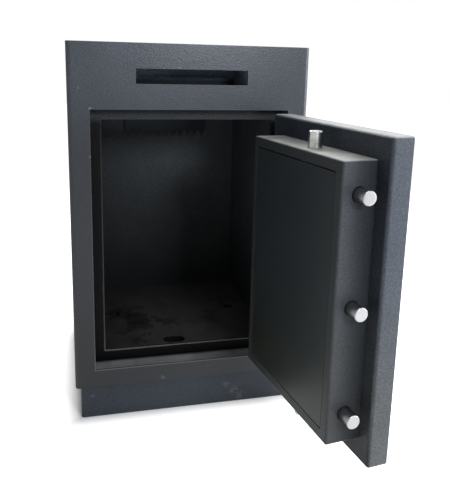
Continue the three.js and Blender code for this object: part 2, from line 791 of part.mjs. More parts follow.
function rodGuide(side) {
  const pin = camPinStart(side > 0 ? 'top' : 'bottom');
  const x = neckMiddle(side);
  const half = rodNeckWidth / 2 + running;
  const z = (pin.z + endBoltFoot(side)) / 2;
  const bridge = block(x - half - housingSheet, x + half + housingSheet, housingFront, armFront + armSheet,
    z - rodFootHeight / 2, z + rodFootHeight / 2);
  const gap = block(x - half, x + half, housingFront - overrun, rodBack + running, z - rodFootHeight, z + rodFootHeight);
  return cut(bridge, gap);
}

// Boltwork

function sideBolt(z) {
  const tip = housingLeft - boltThrow;
  return turned('x', [0, boltY, z], [
    [0, tip], [boltRadius - boltChamfer, tip], [boltRadius, tip + boltChamfer], [boltRadius, barX - seat], [0, barX - seat],
  ]);
}

// Angles of the three cam pins with the bolts thrown, seen from the front
const camPinAngles = { side: quarterTurn + camTurn / 2, top: camTurn / 2, bottom: 2 * quarterTurn + camTurn / 2 };

function camPinStart(name) {
  const angle = THREE.MathUtils.degToRad(camPinAngles[name]);
  return { x: camX + camPinCircle * Math.cos(angle), z: camZ + camPinCircle * Math.sin(angle) };
}

// How far a pin strays sideways from its slot's middle as the cam turns
const camPinStray = camPinCircle * (1 - Math.cos(THREE.MathUtils.degToRad(camTurn / 2)));
const slotHalfWidth = camPinRadius + camSlotClearance;
const slotHalfLength = camPinStray / 2 + camPinRadius + camSlotEnd;

// The bar joins the three side bolts. Its arm reaches to the cam, with a stop lug in front of the lock's bolt.
function boltBar() {
  const far = sideBoltHeights.upper - boltMidZ + boltBarPastBolt;
  const bar = block(barX, barX + boltBarSheet, boltY - boltBarWidth / 2, boltY + boltBarWidth / 2,
    boltMidZ - far, boltMidZ + far);
  const pin = camPinStart('side');
  const slotZ = pin.z + camPinStray / 2;
  const armTop = slotZ + slotHalfLength + camSlotBorder;
  const arm = block(barX, pin.x + slotHalfWidth + camSlotBorder, armFront, armBack, slotZ - slotHalfLength - camSlotBorder, armTop);
  const slot = plate('xz', roundedRectangle(pin.x - slotHalfWidth, pin.x + slotHalfWidth,
    slotZ - slotHalfLength, slotZ + slotHalfLength, camPinRadius), armFront - overrun, armBack + overrun);
  const lugTop = lockBottom - stopLugBelowLock;
  const lug = block(lugLeft, lugLeft + stopLugWidth, lockBoltFront, armBack, lugTop - stopLugHeight, lugTop);
  return join(bar, cut(arm, slot), lug);
}

const lockBoltLeft = lockLeft + lockBoltInset;
const lockBoltFront = lockBack - lockSheet - lockBoltDepth - seat;
const lugLeft = lockBoltLeft - stopLugGap - stopLugWidth;

function endBoltTip(side) {
  return side > 0 ? housingTop + boltThrow : housingBottom - boltThrow;
}

function endBoltFoot(side) {
  return endBoltTip(side) - side * endBoltLength;
}

// The inner end is cut back to a flat, where the rod is screwed on.
function endBolt(side) {
  const tip = endBoltTip(side);
  const foot = endBoltFoot(side);
  const whole = turned('z', [camX, boltY, 0], side > 0
    ? [[0, foot], [boltRadius, foot], [boltRadius, tip - boltChamfer], [boltRadius - boltChamfer, tip], [0, tip]]
    : [[0, tip], [boltRadius - boltChamfer, tip], [boltRadius, tip + boltChamfer], [boltRadius, foot], [0, foot]]);
  const lapEnd = foot + side * endBoltLap;
  const lap = block(camX - boltRadius - overrun, camX + boltRadius + overrun, boltY - boltRadius - overrun, rodBack + seat,
    Math.min(foot - side * overrun, lapEnd), Math.max(foot - side * overrun, lapEnd));
  const bore = rod('y', [camX, 0, rodScrewZ(side)], rodScrewRadius + seat, rodBack, boltY + boltRadius - boltChamfer, smallSides);
  return cut(whole, lap, bore);
}

function rodScrewZ(side) {
  return endBoltFoot(side) + side * endBoltLap / 2;
}

function neckMiddle(side) {
  const pin = camPinStart(side > 0 ? 'top' : 'bottom');
  return pin.x + side * rodNeckWidth / 3;
}

// A flat rod from the cam pin to the end bolt: a foot with a cross slot, a neck, and a head on the bolt's flat
function endBoltRod(side) {
  const pin = camPinStart(side > 0 ? 'top' : 'bottom');
  const slotX = pin.x + side * camPinStray / 2;
  const neck = neckMiddle(side);
  const headFar = endBoltFoot(side) + side * (endBoltLap - running);
  const headNear = endBoltFoot(side);
  const sheet = (x0, x1, z0, z1) => block(Math.min(x0, x1), Math.max(x0, x1), rodFront, rodBack, Math.min(z0, z1), Math.max(z0, z1));
  const footHalf = slotHalfLength + camSlotBorder;
  const foot = sheet(slotX - footHalf, slotX + footHalf, pin.z - rodFootHeight / 2, pin.z + rodFootHeight / 2);
  const stem = sheet(neck - rodNeckWidth / 2, neck + rodNeckWidth / 2, pin.z, headFar);
  const head = sheet(camX - side * (boltRadius - seat), neck + side * rodNeckWidth / 2, headNear, headFar);
  const slot = plate('xz', roundedRectangle(slotX - slotHalfLength, slotX + slotHalfLength,
    pin.z - slotHalfWidth, pin.z + slotHalfWidth, camPinRadius), rodFront - overrun, rodBack + overrun);
  const bore = rod('y', [camX, 0, rodScrewZ(side)], rodScrewRadius + seat, rodFront - overrun, rodBack + overrun, smallSides);
  return cut(join(foot, stem, head), slot, bore);
}

function rodScrew(side) {
  const head = rodFront - seat;
  return turned('y', [camX, 0, rodScrewZ(side)], [
    [0, head - rodScrewHeadLength], [rodScrewHeadRadius, head - rodScrewHeadLength], [rodScrewHeadRadius, head],
    [rodScrewRadius, head], [rodScrewRadius, boltY + boltRadius - boltChamfer - seat],
    [0, boltY + boltRadius - boltChamfer - seat],
  ], smallSides);
}

// Cam, spindle and handle

// The cam is one casting: a disc with three pins, the side bolts' pin longer than the other two.
function cam() {
  const disc = rod('y', [camX, 0, camZ], camRadius, camFront, camBack);
  const pins = Object.keys(camPinAngles).map((name) => {
    const pin = camPinStart(name);
    return rod('y', [pin.x, 0, pin.z], camPinRadius, camFront, name === 'side' ? armBack : rodBack, smallSides);
  });
  const bore = rod('y', [camX, 0, camZ], spindleRadius + seat, camFront - overrun, camBack + overrun);
  return cut(join(disc, ...pins), bore);
}

const handleBack = -roseSheet - 2 * seat;
const handleFront = handleBack - handleHubLength;

function spindle() {
  const front = handleBack - handleHubLength / 2;
  return turned('y', [camX, 0, camZ], [
    [0, front], [spindleRadius, front], [spindleRadius, camBack], [spindleRadius / 2, camBack],
    [spindleRadius / 2, camBack + layerGap + spindleNutLength], [0, camBack + layerGap + spindleNutLength],
  ]);
}

function spindleNut() {
  const from = camBack + seat;
  const bore = rod('y', [camX, 0, camZ], spindleRadius / 2 + seat, from - overrun, from + spindleNutLength + overrun);
  return cut(rod('y', [camX, 0, camZ], spindleNutRadius, from, from + spindleNutLength, nutSides), bore);
}

function spindleBush() {
  const inner = spindleRadius + running;
  return turned('y', [camX, 0, camZ], [
    [inner, seat], [bushRadius, seat], [bushRadius, housingFront], [bushFlangeRadius, housingFront],
    [bushFlangeRadius, housingFront + bushFlangeSheet], [inner, housingFront + bushFlangeSheet], [inner, seat],
  ]);
}

function handleRose() {
  const inner = spindleRadius + running;
  return turned('y', [camX, 0, camZ], [
    [inner, -roseSheet - seat], [roseRadius - roseSheet / 2, -roseSheet - seat], [roseRadius, -roseSheet / 2],
    [roseRadius, -seat], [inner, -seat], [inner, -roseSheet - seat],
  ]);
}

// The lever points to the door's free edge while the bolts are thrown.
function handleLever() {
  const hub = turned('y', [camX, 0, camZ], [
    [0, handleFront], [handleHubRadius - handleBevel, handleFront], [handleHubRadius, handleFront + handleBevel],
    [handleHubRadius, handleBack], [0, handleBack],
  ]);
  const outline = new THREE.Shape();
  outline.moveTo(camX, camZ - handleRootHalf);
  outline.lineTo(camX, camZ + handleRootHalf);
  outline.lineTo(camX - handleReach + handleTipHalf, camZ + handleTipHalf);
  outline.absarc(camX - handleReach + handleTipHalf, camZ, handleTipHalf, Math.PI / 2, 1.5 * Math.PI);
  const lever = plate('xz', outline, handleFront, handleFront + handleSheet, handleBevel);
  const socket = rod('y', [camX, 0, camZ], spindleRadius + seat, handleBack - handleHubLength / 2 - seat, handleBack + overrun);
  return cut(join(hub, lever), socket);
}

// Lock and key

function lockCase() {
  const outer = block(lockLeft, lockLeft + lockWidth, lockFront, lockBack - lockSheet, lockBottom, lockBottom + lockHeight);
  const hollow = block(lockLeft + lockSheet, lockLeft + lockWidth - lockSheet, lockFront + lockSheet, lockBack + overrun,
    lockBottom + lockSheet, lockBottom + lockHeight - lockSheet);
  const exit = block(lockBoltLeft - running, lockBoltLeft + lockBoltWidth + running, lockBoltFront - running, lockBack + overrun,
    lockBottom - overrun, lockBottom + lockSheet + overrun);
  const keyway = rod('y', [keyX, 0, keyZ], keyTubeRadius - keyTubeWall, lockFront - overrun, lockFront + lockSheet + overrun);
  return cut(outer, hollow, exit, keyway);
}

function lockLid() {
  return block(lockLeft, lockLeft + lockWidth, lockBack - lockSheet + seat, lockBack + seat, lockBottom, lockBottom + lockHeight);
}

const lockCavityBack = lockBack - lockSheet;

// The bolt drops in front of the bar's stop lug. Its tail lies over the end of the key.
function lockBolt() {
  const stem = block(lockBoltLeft, lockBoltLeft + lockBoltWidth, lockBoltFront, lockCavityBack - seat,
    lockBottom + running, keyZ);
  const tailTop = keyZ + lockTailTop;
  const tail = block(lockBoltLeft, lockBoltLeft + lockTailWidth, lockCavityBack - lockTailSheet, lockCavityBack - seat,
    tailTop - lockTailHeight, tailTop);
  const keySide = block(lockBoltLeft + lockBoltWidth / 2, lockBoltLeft + lockBoltWidth + overrun, lockBoltFront - overrun,
    lockCavityBack - lockTailSheet, keyZ - keyBitReach - lockBoltThrow, keyZ + overrun);
  return cut(join(stem, tail), keySide);
}

// The key stands with its bit up and the lock open: it comes out only with its bit down and the bolt dropped.
function key() {
  const end = lockCavityBack - lockTailSheet - running;
  const bowFront = -keyProud - 2 * keyBowRadius;
  const shank = rod('y', [keyX, 0, keyZ], keyShankRadius, -keyProud - keyBowRadius / 2, end, smallSides);
  const bit = block(keyX - keyBitSheet / 2, keyX + keyBitSheet / 2, end - keyBitWidth, end, keyZ, keyZ + keyBitReach);
  const bow = cut(
    rod('x', [keyX, bowFront + keyBowRadius, keyZ], keyBowRadius, -keyBowSheet / 2, keyBowSheet / 2),
    rod('x', [keyX, bowFront + keyBowRadius, keyZ], keyBowHole, -overrun, overrun, smallSides));
  const shankEnd = rod('x', [keyX, bowFront + keyBowRadius, keyZ], keyBowHole, -overrun, overrun, smallSides);
  return join(cut(shank, shankEnd), bit, bow);
}

function keyTube() {
  return tube('y', [keyX, 0, keyZ], keyTubeRadius - keyTubeWall, keyTubeRadius, seat, slabThickness);
}

function keyEscutcheon() {
  const disc = turned('y', [keyX, 0, keyZ], [
    [0, -escutcheonSheet - seat], [escutcheonRadius - escutcheonSheet / 2, -escutcheonSheet - seat],
    [escutcheonRadius, -escutcheonSheet / 2], [escutcheonRadius, -seat], [0, -seat],
  ]);
  const hole = rod('y', [keyX, 0, keyZ], keyShankRadius + running, -escutcheonSheet - overrun, overrun, smallSides);
  const slit = block(keyX - keyBitSheet / 2 - running, keyX + keyBitSheet / 2 + running, -escutcheonSheet - overrun, overrun,
    keyZ - keyBitReach - running, keyZ);
  return cut(disc, hole, slit);
}

function buildDoor() {
  const door = new THREE.Group();
  part(door, 'door_pan', doorPan(), 'doorPaint');
  part(door, 'door_filling', doorFilling(), 'castFill');
  part(door, 'door_inner_plate', doorInnerPlate(), 'doorPaint');
  part(door, 'boltwork_housing', boltworkHousing(), 'doorPaint');
  part(door, 'boltwork_cover', boltworkCover(), 'doorPaint');
  for (const [name, place] of Object.entries(postPlaces)) {
    part(door, `cover_screw_${name}`, coverScrew(place), 'doorPaint');
  }
  for (const [name, z] of Object.entries(dogHeights)) {
    part(door, `hinge_side_dog_${name}`, hingeSideDog(z), 'turnedSteel');
  }
  part(door, 'hinge_side_stud', hingeSideStud(), 'turnedSteel');
  for (const [name, z] of Object.entries(hingePlaces)) {
    part(door, `hinge_knuckle_door_${name}`, doorKnuckle(z), 'paint');
  }
  part(door, 'side_guide_rail', sideGuideRail(), 'rolledSteel');
  part(door, 'handle_rose', handleRose(), 'chromed');
  part(door, 'spindle_bush', spindleBush(), 'brass');
  part(door, 'lock_case', lockCase(), 'rolledSteel');
  part(door, 'lock_lid', lockLid(), 'rolledSteel');
  part(door, 'key_tube', keyTube(), 'brass');
  part(door, 'key_escutcheon', keyEscutcheon(), 'chromed');

  for (const [name, z] of Object.entries(sideBoltHeights)) {
    part(door, `side_bolt_${name}`, sideBolt(z), 'turnedSteel');
  }
  part(door, 'bolt_bar', boltBar(), 'rolledSteel');
  for (const [name, side] of [['top', 1], ['bottom', -1]]) {
    part(door, `${name}_bolt`, endBolt(side), 'turnedSteel');
    part(door, `${name}_bolt_rod`, endBoltRod(side), 'rolledSteel');
    part(door, `${name}_rod_screw`, rodScrew(side), 'rolledSteel');
    part(door, `${name}_bolt_guide`, endBoltGuide(side), 'rolledSteel');
    part(door, `${name}_rod_guide`, rodGuide(side), 'rolledSteel');
  }

  part(door, 'handle_lever', handleLever(), 'chromed');
  part(door, 'handle_spindle', spindle(), 'turnedSteel');
  part(door, 'spindle_nut', spindleNut(), 'rolledSteel');
  part(door, 'cam', cam(), 'rolledSteel');
  part(door, 'lock_bolt', lockBolt(), 'brass');
  part(door, 'key', key(), 'rolledSteel');
  return door;
}

// The door's pieces are drawn shut, so its group carries them back from the hinge and then turns about it.
const safe = new THREE.Group();
const layout = new THREE.Group();
layout.position.set(-bodyWidth / 2, -bodyDepth / 2, 0);
layout.add(buildCabinet());

const hinge = new THREE.Group();
hinge.position.set(hingeX, hingeY, 0);
hinge.rotation.z = THREE.MathUtils.degToRad(openAngle);
const door = buildDoor();
door.position.set(-hingeX, -hingeY, 0);
hinge.add(door);
layout.add(hinge);
safe.add(layout);
safe.updateMatrixWorld(true);

export default safe;
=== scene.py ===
"""Looks of a front-loading drop safe: its paint, steel and filling, and finer turned and formed pieces.

Lengths in the classes are millimetres of the safe's own layout: x from its left side, y from its front plane
into the safe, z from the ground, with the door shut. A Layout places them in the frame, in metres.
"""

import logging
from dataclasses import dataclass
from enum import Enum
from typing import ClassVar

import bpy
import numpy as np
from mathutils import Matrix, Vector


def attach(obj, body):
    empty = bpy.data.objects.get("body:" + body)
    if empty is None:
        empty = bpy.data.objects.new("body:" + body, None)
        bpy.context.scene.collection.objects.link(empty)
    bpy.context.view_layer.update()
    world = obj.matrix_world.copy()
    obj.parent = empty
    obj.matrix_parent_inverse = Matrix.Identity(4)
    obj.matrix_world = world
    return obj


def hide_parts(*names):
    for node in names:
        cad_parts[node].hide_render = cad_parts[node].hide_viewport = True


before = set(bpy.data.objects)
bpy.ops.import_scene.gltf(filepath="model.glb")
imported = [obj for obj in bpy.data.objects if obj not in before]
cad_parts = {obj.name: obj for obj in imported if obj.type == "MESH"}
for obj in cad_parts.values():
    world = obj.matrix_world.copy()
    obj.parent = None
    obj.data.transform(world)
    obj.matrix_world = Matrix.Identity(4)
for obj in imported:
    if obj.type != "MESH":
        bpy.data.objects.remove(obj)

LOG = logging.getLogger("drop_safe")
MM = 0.001
FULL_TURN = 2.0 * np.pi
WHITE = (1.0, 1.0, 1.0, 1.0)
SMOOTH_ANGLE = 32.0
CORNER_SHARE = 0.45
Colour = tuple[float, float, float]
Triple = tuple[float, float, float]
Profile = list[tuple[float, float, float]]
Spots = tuple[tuple[float, float, float, float], ...]
Socket = bpy.types.NodeSocket
Node = bpy.types.Node
Group = bpy.types.NodeTree
Material = bpy.types.Material


class Hung(Enum):
    """What a piece hangs on, which says where its layout lies in the frame."""

    CABINET = "cabinet"
    DOOR = "door"


class Grain(Enum):
    """Ways a metal's fine marks run."""

    TURNED = "turned"
    DRAWN = "drawn"
    PLAIN = "plain"


def metres(place: Triple) -> Triple:
    """Turns a place from millimetres into metres."""
    return tuple(value * MM for value in place)


def grey(level: float) -> Colour:
    """Gives an even tone."""
    return (level, level, level)


def rgba(colour: Colour) -> tuple[float, float, float, float]:
    """Adds a full alpha to a colour."""
    return (*colour, 1.0)


@dataclass(frozen=True)
class Layout:
    """The step from the safe's own layout to the frame.

    The cabinet is only shifted. The door also turns about its hinge by the angle at which it stands open.
    """

    centre_x: float = 225.0
    centre_y: float = 220.0
    hinge_x: float = 419.0
    hinge_y: float = -12.0
    open_angle: float = 97.0

    def place(self, points: np.ndarray, hung: Hung) -> np.ndarray:
        """Moves points of the layout into the frame.

        Args:
            points: Array whose last axis holds x, y and z in millimetres.
            hung: What the points belong to.

        Returns:
            An array of the same shape, in metres of the frame at rest.
        """
        out = np.array(points, dtype=float)
        if hung is Hung.DOOR:
            turn = np.radians(self.open_angle)
            dx = out[..., 0] - self.hinge_x
            dy = out[..., 1] - self.hinge_y
            out[..., 0] = self.hinge_x + dx * np.cos(turn) - dy * np.sin(turn)
            out[..., 1] = self.hinge_y + dx * np.sin(turn) + dy * np.cos(turn)
        out[..., 0] -= self.centre_x
        out[..., 1] -= self.centre_y
        return out * MM

    def pattern_step(self, hung: Hung) -> tuple[Triple, Triple]:
        """Gives the shift and turn that carry Object coordinates back to the layout, in metres.

        Args:
            hung: What the patterned piece belongs to.

        Returns:
            The location and the rotation of a Mapping node.
        """
        centre = Vector((self.centre_x, self.centre_y, 0.0)) * MM
        if hung is Hung.CABINET:
            return tuple(centre), (0.0, 0.0, 0.0)
        angle = -float(np.radians(self.open_angle))
        pivot = Vector((self.hinge_x, self.hinge_y, 0.0)) * MM
        return tuple(Matrix.Rotation(angle, 3, "Z") @ (centre - pivot) + pivot), (0.0, 0.0, angle)


LAYOUT = Layout()


@dataclass(frozen=True)
class Noise:
    """A noise texture, and the window of its values, from low to high, that a cloud is made of."""

    scale: float
    detail: float = 2.0
    roughness: float = 0.5
    low: float = 0.3
    high: float = 0.7


class Tree:
    """A node tree being laid out, with short ways to add nodes and join their sockets."""

    def __init__(self, tree: Group) -> None:
        """Empties the tree that the nodes go into."""
        self.tree = tree
        tree.nodes.clear()

    def feed(self, socket: Socket, value: object) -> None:
        """Joins a socket to another one, or sets its own value.

        Args:
            socket: The input that takes the value.
            value: A socket to join, or a number, a colour or a vector to set.
        """
        if isinstance(value, Socket):
            self.tree.links.new(value, socket)
        else:
            socket.default_value = value

    def node(self, kind: str, inputs: dict | None = None, **settings: object) -> Node:
        """Adds a node.

        Args:
            kind: The node's type name.
            inputs: Values or sockets by input name or number.
            **settings: Properties of the node itself.

        Returns:
            The new node.
        """
        made = self.tree.nodes.new(kind)
        for name, value in settings.items():
            setattr(made, name, value)
        for name, value in (inputs or {}).items():
            self.feed(made.inputs[name], value)
        return made

    def math(self, operation: str, *values: object, clamp: bool = False) -> Socket:
        """Adds a Math node and returns its result."""
        inputs = dict(enumerate(values))
        return self.node("ShaderNodeMath", inputs, operation=operation, use_clamp=clamp).outputs[0]

    def times(self, first: object, second: object, clamp: bool = False) -> Socket:
        """Multiplies two values."""
        return self.math("MULTIPLY", first, second, clamp=clamp)

    def plus(self, first: object, second: object, clamp: bool = False) -> Socket:
        """Adds two values."""
        return self.math("ADD", first, second, clamp=clamp)

    def vector(self, operation: str, *values: object) -> Socket:
        """Adds a Vector Math node and returns its vector, or its value for lengths."""
        made = self.node("ShaderNodeVectorMath", dict(enumerate(values)), operation=operation)
        return made.outputs["Value" if operation in ("LENGTH", "DISTANCE", "DOT_PRODUCT") else "Vector"]

    def scaled(self, vector: object, factor: object) -> Socket:
        """Scales a vector or a colour."""
        inputs = {0: vector, "Scale": factor}
        return self.node("ShaderNodeVectorMath", inputs, operation="SCALE").outputs["Vector"]

    def split(self, vector: object) -> tuple[Socket, ...]:
        """Splits a vector into its x, y and z sockets."""
        return tuple(self.node("ShaderNodeSeparateXYZ", {"Vector": vector}).outputs)

    def join(self, x: object, y: object, z: object) -> Socket:
        """Joins x, y and z into a vector socket."""
        return self.node("ShaderNodeCombineXYZ", {"X": x, "Y": y, "Z": z}).outputs[0]

    def ramp(self, value: object, low: object, high: object, start: object = 0.0,
             end: object = 1.0) -> Socket:
        """Maps a value smoothly from low..high to start..end, and holds it outside."""
        inputs = {"Value": value, "From Min": low, "From Max": high, "To Min": start, "To Max": end}
        return self.node("ShaderNodeMapRange", inputs, interpolation_type="SMOOTHSTEP").outputs["Result"]

    def noise(self, vector: object, noise: Noise, scale: object = None) -> Socket:
        """Adds a Noise Texture.

        Args:
            vector: The place at which the noise is taken.
            noise: What the noise is like.
            scale: Its scale, if it isn't the noise's own.

        Returns:
            Its factor, about 0.5 on average.
        """
        inputs = {"Vector": vector, "Scale": noise.scale if scale is None else scale,
                  "Detail": noise.detail, "Roughness": noise.roughness}
        return self.node("ShaderNodeTexNoise", inputs).outputs["Fac"]

    def cloud(self, vector: object, noise: Noise, start: object = 0.0, end: object = 1.0) -> Socket:
        """Maps a noise's window to start..end."""
        return self.ramp(self.noise(vector, noise), noise.low, noise.high, start, end)

    def mix(self, factor: object, first: object, second: object) -> Socket:
        """Mixes two colours by a factor and returns the result."""
        return self.node("ShaderNodeMix", {0: factor, 6: first, 7: second}, data_type="RGBA").outputs[2]

    def seen(self) -> Socket:
        """Tells the rays that show a surface from those that only carry its light.

        Returns:
            1 for camera, glossy and transmission rays, and 0 for the others.
        """
        path = self.node("ShaderNodeLightPath").outputs
        bent = self.math("MAXIMUM", path["Is Glossy Ray"], path["Is Transmission Ray"])
        return self.math("MAXIMUM", path["Is Camera Ray"], bent)


# The skin's, tools' and chips' noises have scales in multiples of 1 over the grain, pitch or radius.
SKIN_SMOOTHNESS = 0.6
SKIN_GRAINS = Noise(1.9, 3.0, 0.6, 0.58, 0.74)
SKIN_SHARES = (0.55, 0.45)
EDGE_PATCHES = Noise(35.0, 3.0, 0.6)
EDGE_GRAINS = Noise(380.0)
EDGE_SHARES = (0.9, 0.9)
RIM_PATCHES = Noise(28.0, 3.0, 0.6)
RIM_GRAINS = Noise(420.0)
RIM_SHARES = (1.0, 0.8)
# Dust on faces that look up, which also paints the light that falls on tops.
DUST_SHEEN_PATCHES = Noise(22.0, 5.0, 0.62, 0.32, 0.68)
DUST_SHEEN_GRAINS = Noise(900.0, 2.0, 0.6, 0.35, 0.7)
DUST_SHEEN_UPWARD = (0.35, 0.95)
DUST_SHEEN_LEAST = 0.6
TOOL_LINES = Noise(1.0, 2.0, 0.7)
TOOL_BANDS = Noise(0.18)
TOOL_SHARES = (0.7, 0.3)
CHIP_BLOTS = Noise(1.3, 4.0, 0.7, 0.34, 0.66)
CHIP_REACH = (0.1, 1.7)
CHIP_CORE = 0.6


class Effects:
    """The node groups that several finishes share, each built once."""

    def __init__(self) -> None:
        """Builds every group."""
        self.skin = self.pebbled_skin()
        self.box_wear = self.edge_wear()
        self.rim_wear = self.opening_wear()
        self.dust = self.settled_dust_and_sheen()
        self.marks = self.tool_marks()
        self.chip = self.chipped_spot()

    @staticmethod
    def group(name: str, vectors: str, floats: str, results: str) -> tuple[Tree, dict[str, Socket], Node]:
        """Opens a new node group.

        Args:
            name: The group's name.
            vectors: Names of its vector inputs, with spaces between.
            floats: Names of its float inputs.
            results: Names of its outputs, which are floats.

        Returns:
            The tree, its input sockets by name, and its output node.
        """
        tree = bpy.data.node_groups.new(name, "ShaderNodeTree")
        kinds = (("INPUT", "Vector", vectors), ("INPUT", "Float", floats), ("OUTPUT", "Float", results))
        for way, kind, labels in kinds:
            for label in labels.split():
                tree.interface.new_socket(name=label, in_out=way, socket_type=f"NodeSocket{kind}")
        sheet = Tree(tree)
        entry = sheet.node("NodeGroupInput")
        given = {label: entry.outputs[label] for label in f"{vectors} {floats}".split()}
        return sheet, given, sheet.node("NodeGroupOutput")

    @staticmethod
    def blend(sheet: Tree, first: Socket, second: Socket, shares: tuple[float, float]) -> Socket:
        """Adds two values by their shares."""
        return sheet.plus(sheet.times(first, shares[0]), sheet.times(second, shares[1]))

    def frayed(self, sheet: Tree, given: dict[str, Socket], distance: Socket,
               noises: tuple[Noise, Noise], shares: tuple[float, float]) -> Socket:
        """Fades wear out with distance, over a width that two noises break up.

        Args:
            sheet: The tree.
            given: The group's inputs, with Vector and Width among them.
            distance: How far a place is from the worn edge.
            noises: The broad and the fine noise.
            shares: How much each counts.

        Returns:
            The wear, from 0 to 1.
        """
        broad, fine = (sheet.noise(given["Vector"], noise) for noise in noises)
        reach = sheet.times(given["Width"], self.blend(sheet, broad, fine, shares))
        return sheet.ramp(distance, 0.0, reach, 1.0, 0.0)

    def pebbled_skin(self) -> Group:
        """Builds the fine pebbled skin of sprayed textured paint.

        Rounded cells of Voronoi noise carry a finer noise. Height is their sum, and Glint marks the few
        grains that stand highest.

        Returns:
            The group.
        """
        sheet, given, leave = self.group("pebbled_skin", "Vector", "Grain", "Height Glint")
        scale = sheet.math("DIVIDE", 1.0, given["Grain"])
        inputs = {"Vector": given["Vector"], "Scale": scale, "Smoothness": SKIN_SMOOTHNESS}
        cells = sheet.node("ShaderNodeTexVoronoi", inputs, feature="SMOOTH_F1")
        fine = sheet.noise(given["Vector"], SKIN_GRAINS, sheet.times(scale, SKIN_GRAINS.scale))
        round_top = sheet.math("SUBTRACT", 1.0, cells.outputs["Distance"], clamp=True)
        sheet.feed(leave.inputs["Height"], self.blend(sheet, round_top, fine, SKIN_SHARES))
        sheet.feed(leave.inputs["Glint"], sheet.ramp(fine, SKIN_GRAINS.low, SKIN_GRAINS.high))
        return sheet.tree

    def edge_wear(self) -> Group:
        """Builds the wear along the edges of a box.

        The distance to the nearest edge is the middle one of the three distances to the box's nearest
        walls.

        Returns:
            The group.
        """
        sheet, given, leave = self.group("edge_wear", "Vector Low High", "Width", "Wear")
        near = sheet.vector("ABSOLUTE", sheet.vector("SUBTRACT", given["Vector"], given["Low"]))
        far = sheet.vector("ABSOLUTE", sheet.vector("SUBTRACT", given["High"], given["Vector"]))
        x, y, z = sheet.split(sheet.vector("MINIMUM", near, far))
        middle = sheet.math("MAXIMUM", sheet.math("MINIMUM", x, y),
                            sheet.math("MINIMUM", sheet.math("MAXIMUM", x, y), z))
        wear = self.frayed(sheet, given, middle, (EDGE_PATCHES, EDGE_GRAINS), EDGE_SHARES)
        sheet.feed(leave.inputs["Wear"], wear)
        return sheet.tree

    def opening_wear(self) -> Group:
        """Builds the wear along the rim of an upright rectangular opening.

        In the plane of the opening, the distance to its outline is the signed distance to a rectangle.
        Together with the depth from the rim's plane it gives the distance to the rim.

        Returns:
            The group.
        """
        sheet, given, leave = self.group("opening_wear", "Vector Centre Half", "Width", "Wear")
        offset = sheet.vector("SUBTRACT", given["Vector"], given["Centre"])
        dx, dy, dz = sheet.split(sheet.vector("SUBTRACT", sheet.vector("ABSOLUTE", offset), given["Half"]))
        beyond = sheet.join(sheet.math("MAXIMUM", dx, 0.0), 0.0, sheet.math("MAXIMUM", dz, 0.0))
        inside = sheet.math("MINIMUM", sheet.math("MAXIMUM", dx, dz), 0.0)
        to_line = sheet.plus(sheet.vector("LENGTH", beyond), inside)
        distance = sheet.vector("LENGTH", sheet.join(to_line, dy, 0.0))
        wear = self.frayed(sheet, given, distance, (RIM_PATCHES, RIM_GRAINS), RIM_SHARES)
        sheet.feed(leave.inputs["Wear"], wear)
        return sheet.tree

    def settled_dust_and_sheen(self) -> Group:
        """Builds dust that lies where a surface looks up, in soft patches with grains in them, which also
        paints the light on those tops.

        Returns:
            The group.
        """
        sheet, given, leave = self.group("settled_dust_and_sheen", "Vector Normal", "Amount", "DustAndSheen")
        upward = sheet.ramp(sheet.split(given["Normal"])[2], *DUST_SHEEN_UPWARD)
        patches = sheet.cloud(given["Vector"], DUST_SHEEN_PATCHES, DUST_SHEEN_LEAST)
        grains = sheet.cloud(given["Vector"], DUST_SHEEN_GRAINS, DUST_SHEEN_LEAST)
        dust = sheet.times(sheet.times(upward, patches), grains)
        sheet.feed(leave.inputs["DustAndSheen"], sheet.times(dust, given["Amount"], clamp=True))
        return sheet.tree

    def tool_marks(self) -> Group:
        """Builds the fine lines that a tool leaves on metal.

        Vector is the coordinate that crosses the lines, so the noise is drawn out along them.

        Returns:
            The group.
        """
        sheet, given, leave = self.group("tool_marks", "Vector", "Pitch", "Height Shade")
        scale = sheet.math("DIVIDE", 1.0, given["Pitch"])
        lines = sheet.noise(given["Vector"], TOOL_LINES, scale)
        bands = sheet.noise(given["Vector"], TOOL_BANDS, sheet.times(scale, TOOL_BANDS.scale))
        sheet.feed(leave.inputs["Height"], self.blend(sheet, lines, bands, TOOL_SHARES))
        sheet.feed(leave.inputs["Shade"], sheet.ramp(bands, TOOL_BANDS.low, TOOL_BANDS.high))
        return sheet.tree

    def chipped_spot(self) -> Group:
        """Builds one small spot where the paint is chipped: a ragged disc about a place.

        Returns:
            The group.
        """
        sheet, given, leave = self.group("chipped_spot", "Vector Place", "Radius", "Chip")
        away = sheet.vector("DISTANCE", given["Vector"], given["Place"])
        step = sheet.scaled(given["Vector"], sheet.math("DIVIDE", 1.0, given["Radius"]))
        ragged = sheet.times(given["Radius"], sheet.cloud(step, CHIP_BLOTS, *CHIP_REACH))
        sheet.feed(leave.inputs["Chip"], sheet.ramp(away, sheet.times(ragged, CHIP_CORE), ragged, 1.0, 0.0))
        return sheet.tree


@dataclass(frozen=True)
class EdgeBox:
    """A box of the layout whose edges are worn, in millimetres."""

    low: Triple
    high: Triple
    width: float = 2.2


@dataclass(frozen=True)
class Rim:
    """The worn rim of an upright rectangular opening of the layout, in millimetres."""

    left: float
    right: float
    bottom: float
    top: float
    depth: float
    width: float

    @property
    def centre(self) -> Triple:
        """The opening's middle."""
        return ((self.left + self.right) / 2, self.depth, (self.bottom + self.top) / 2)

    @property
    def half(self) -> Triple:
        """Half of the opening's width and height."""
        return ((self.right - self.left) / 2, 0.0, (self.top - self.bottom) / 2)


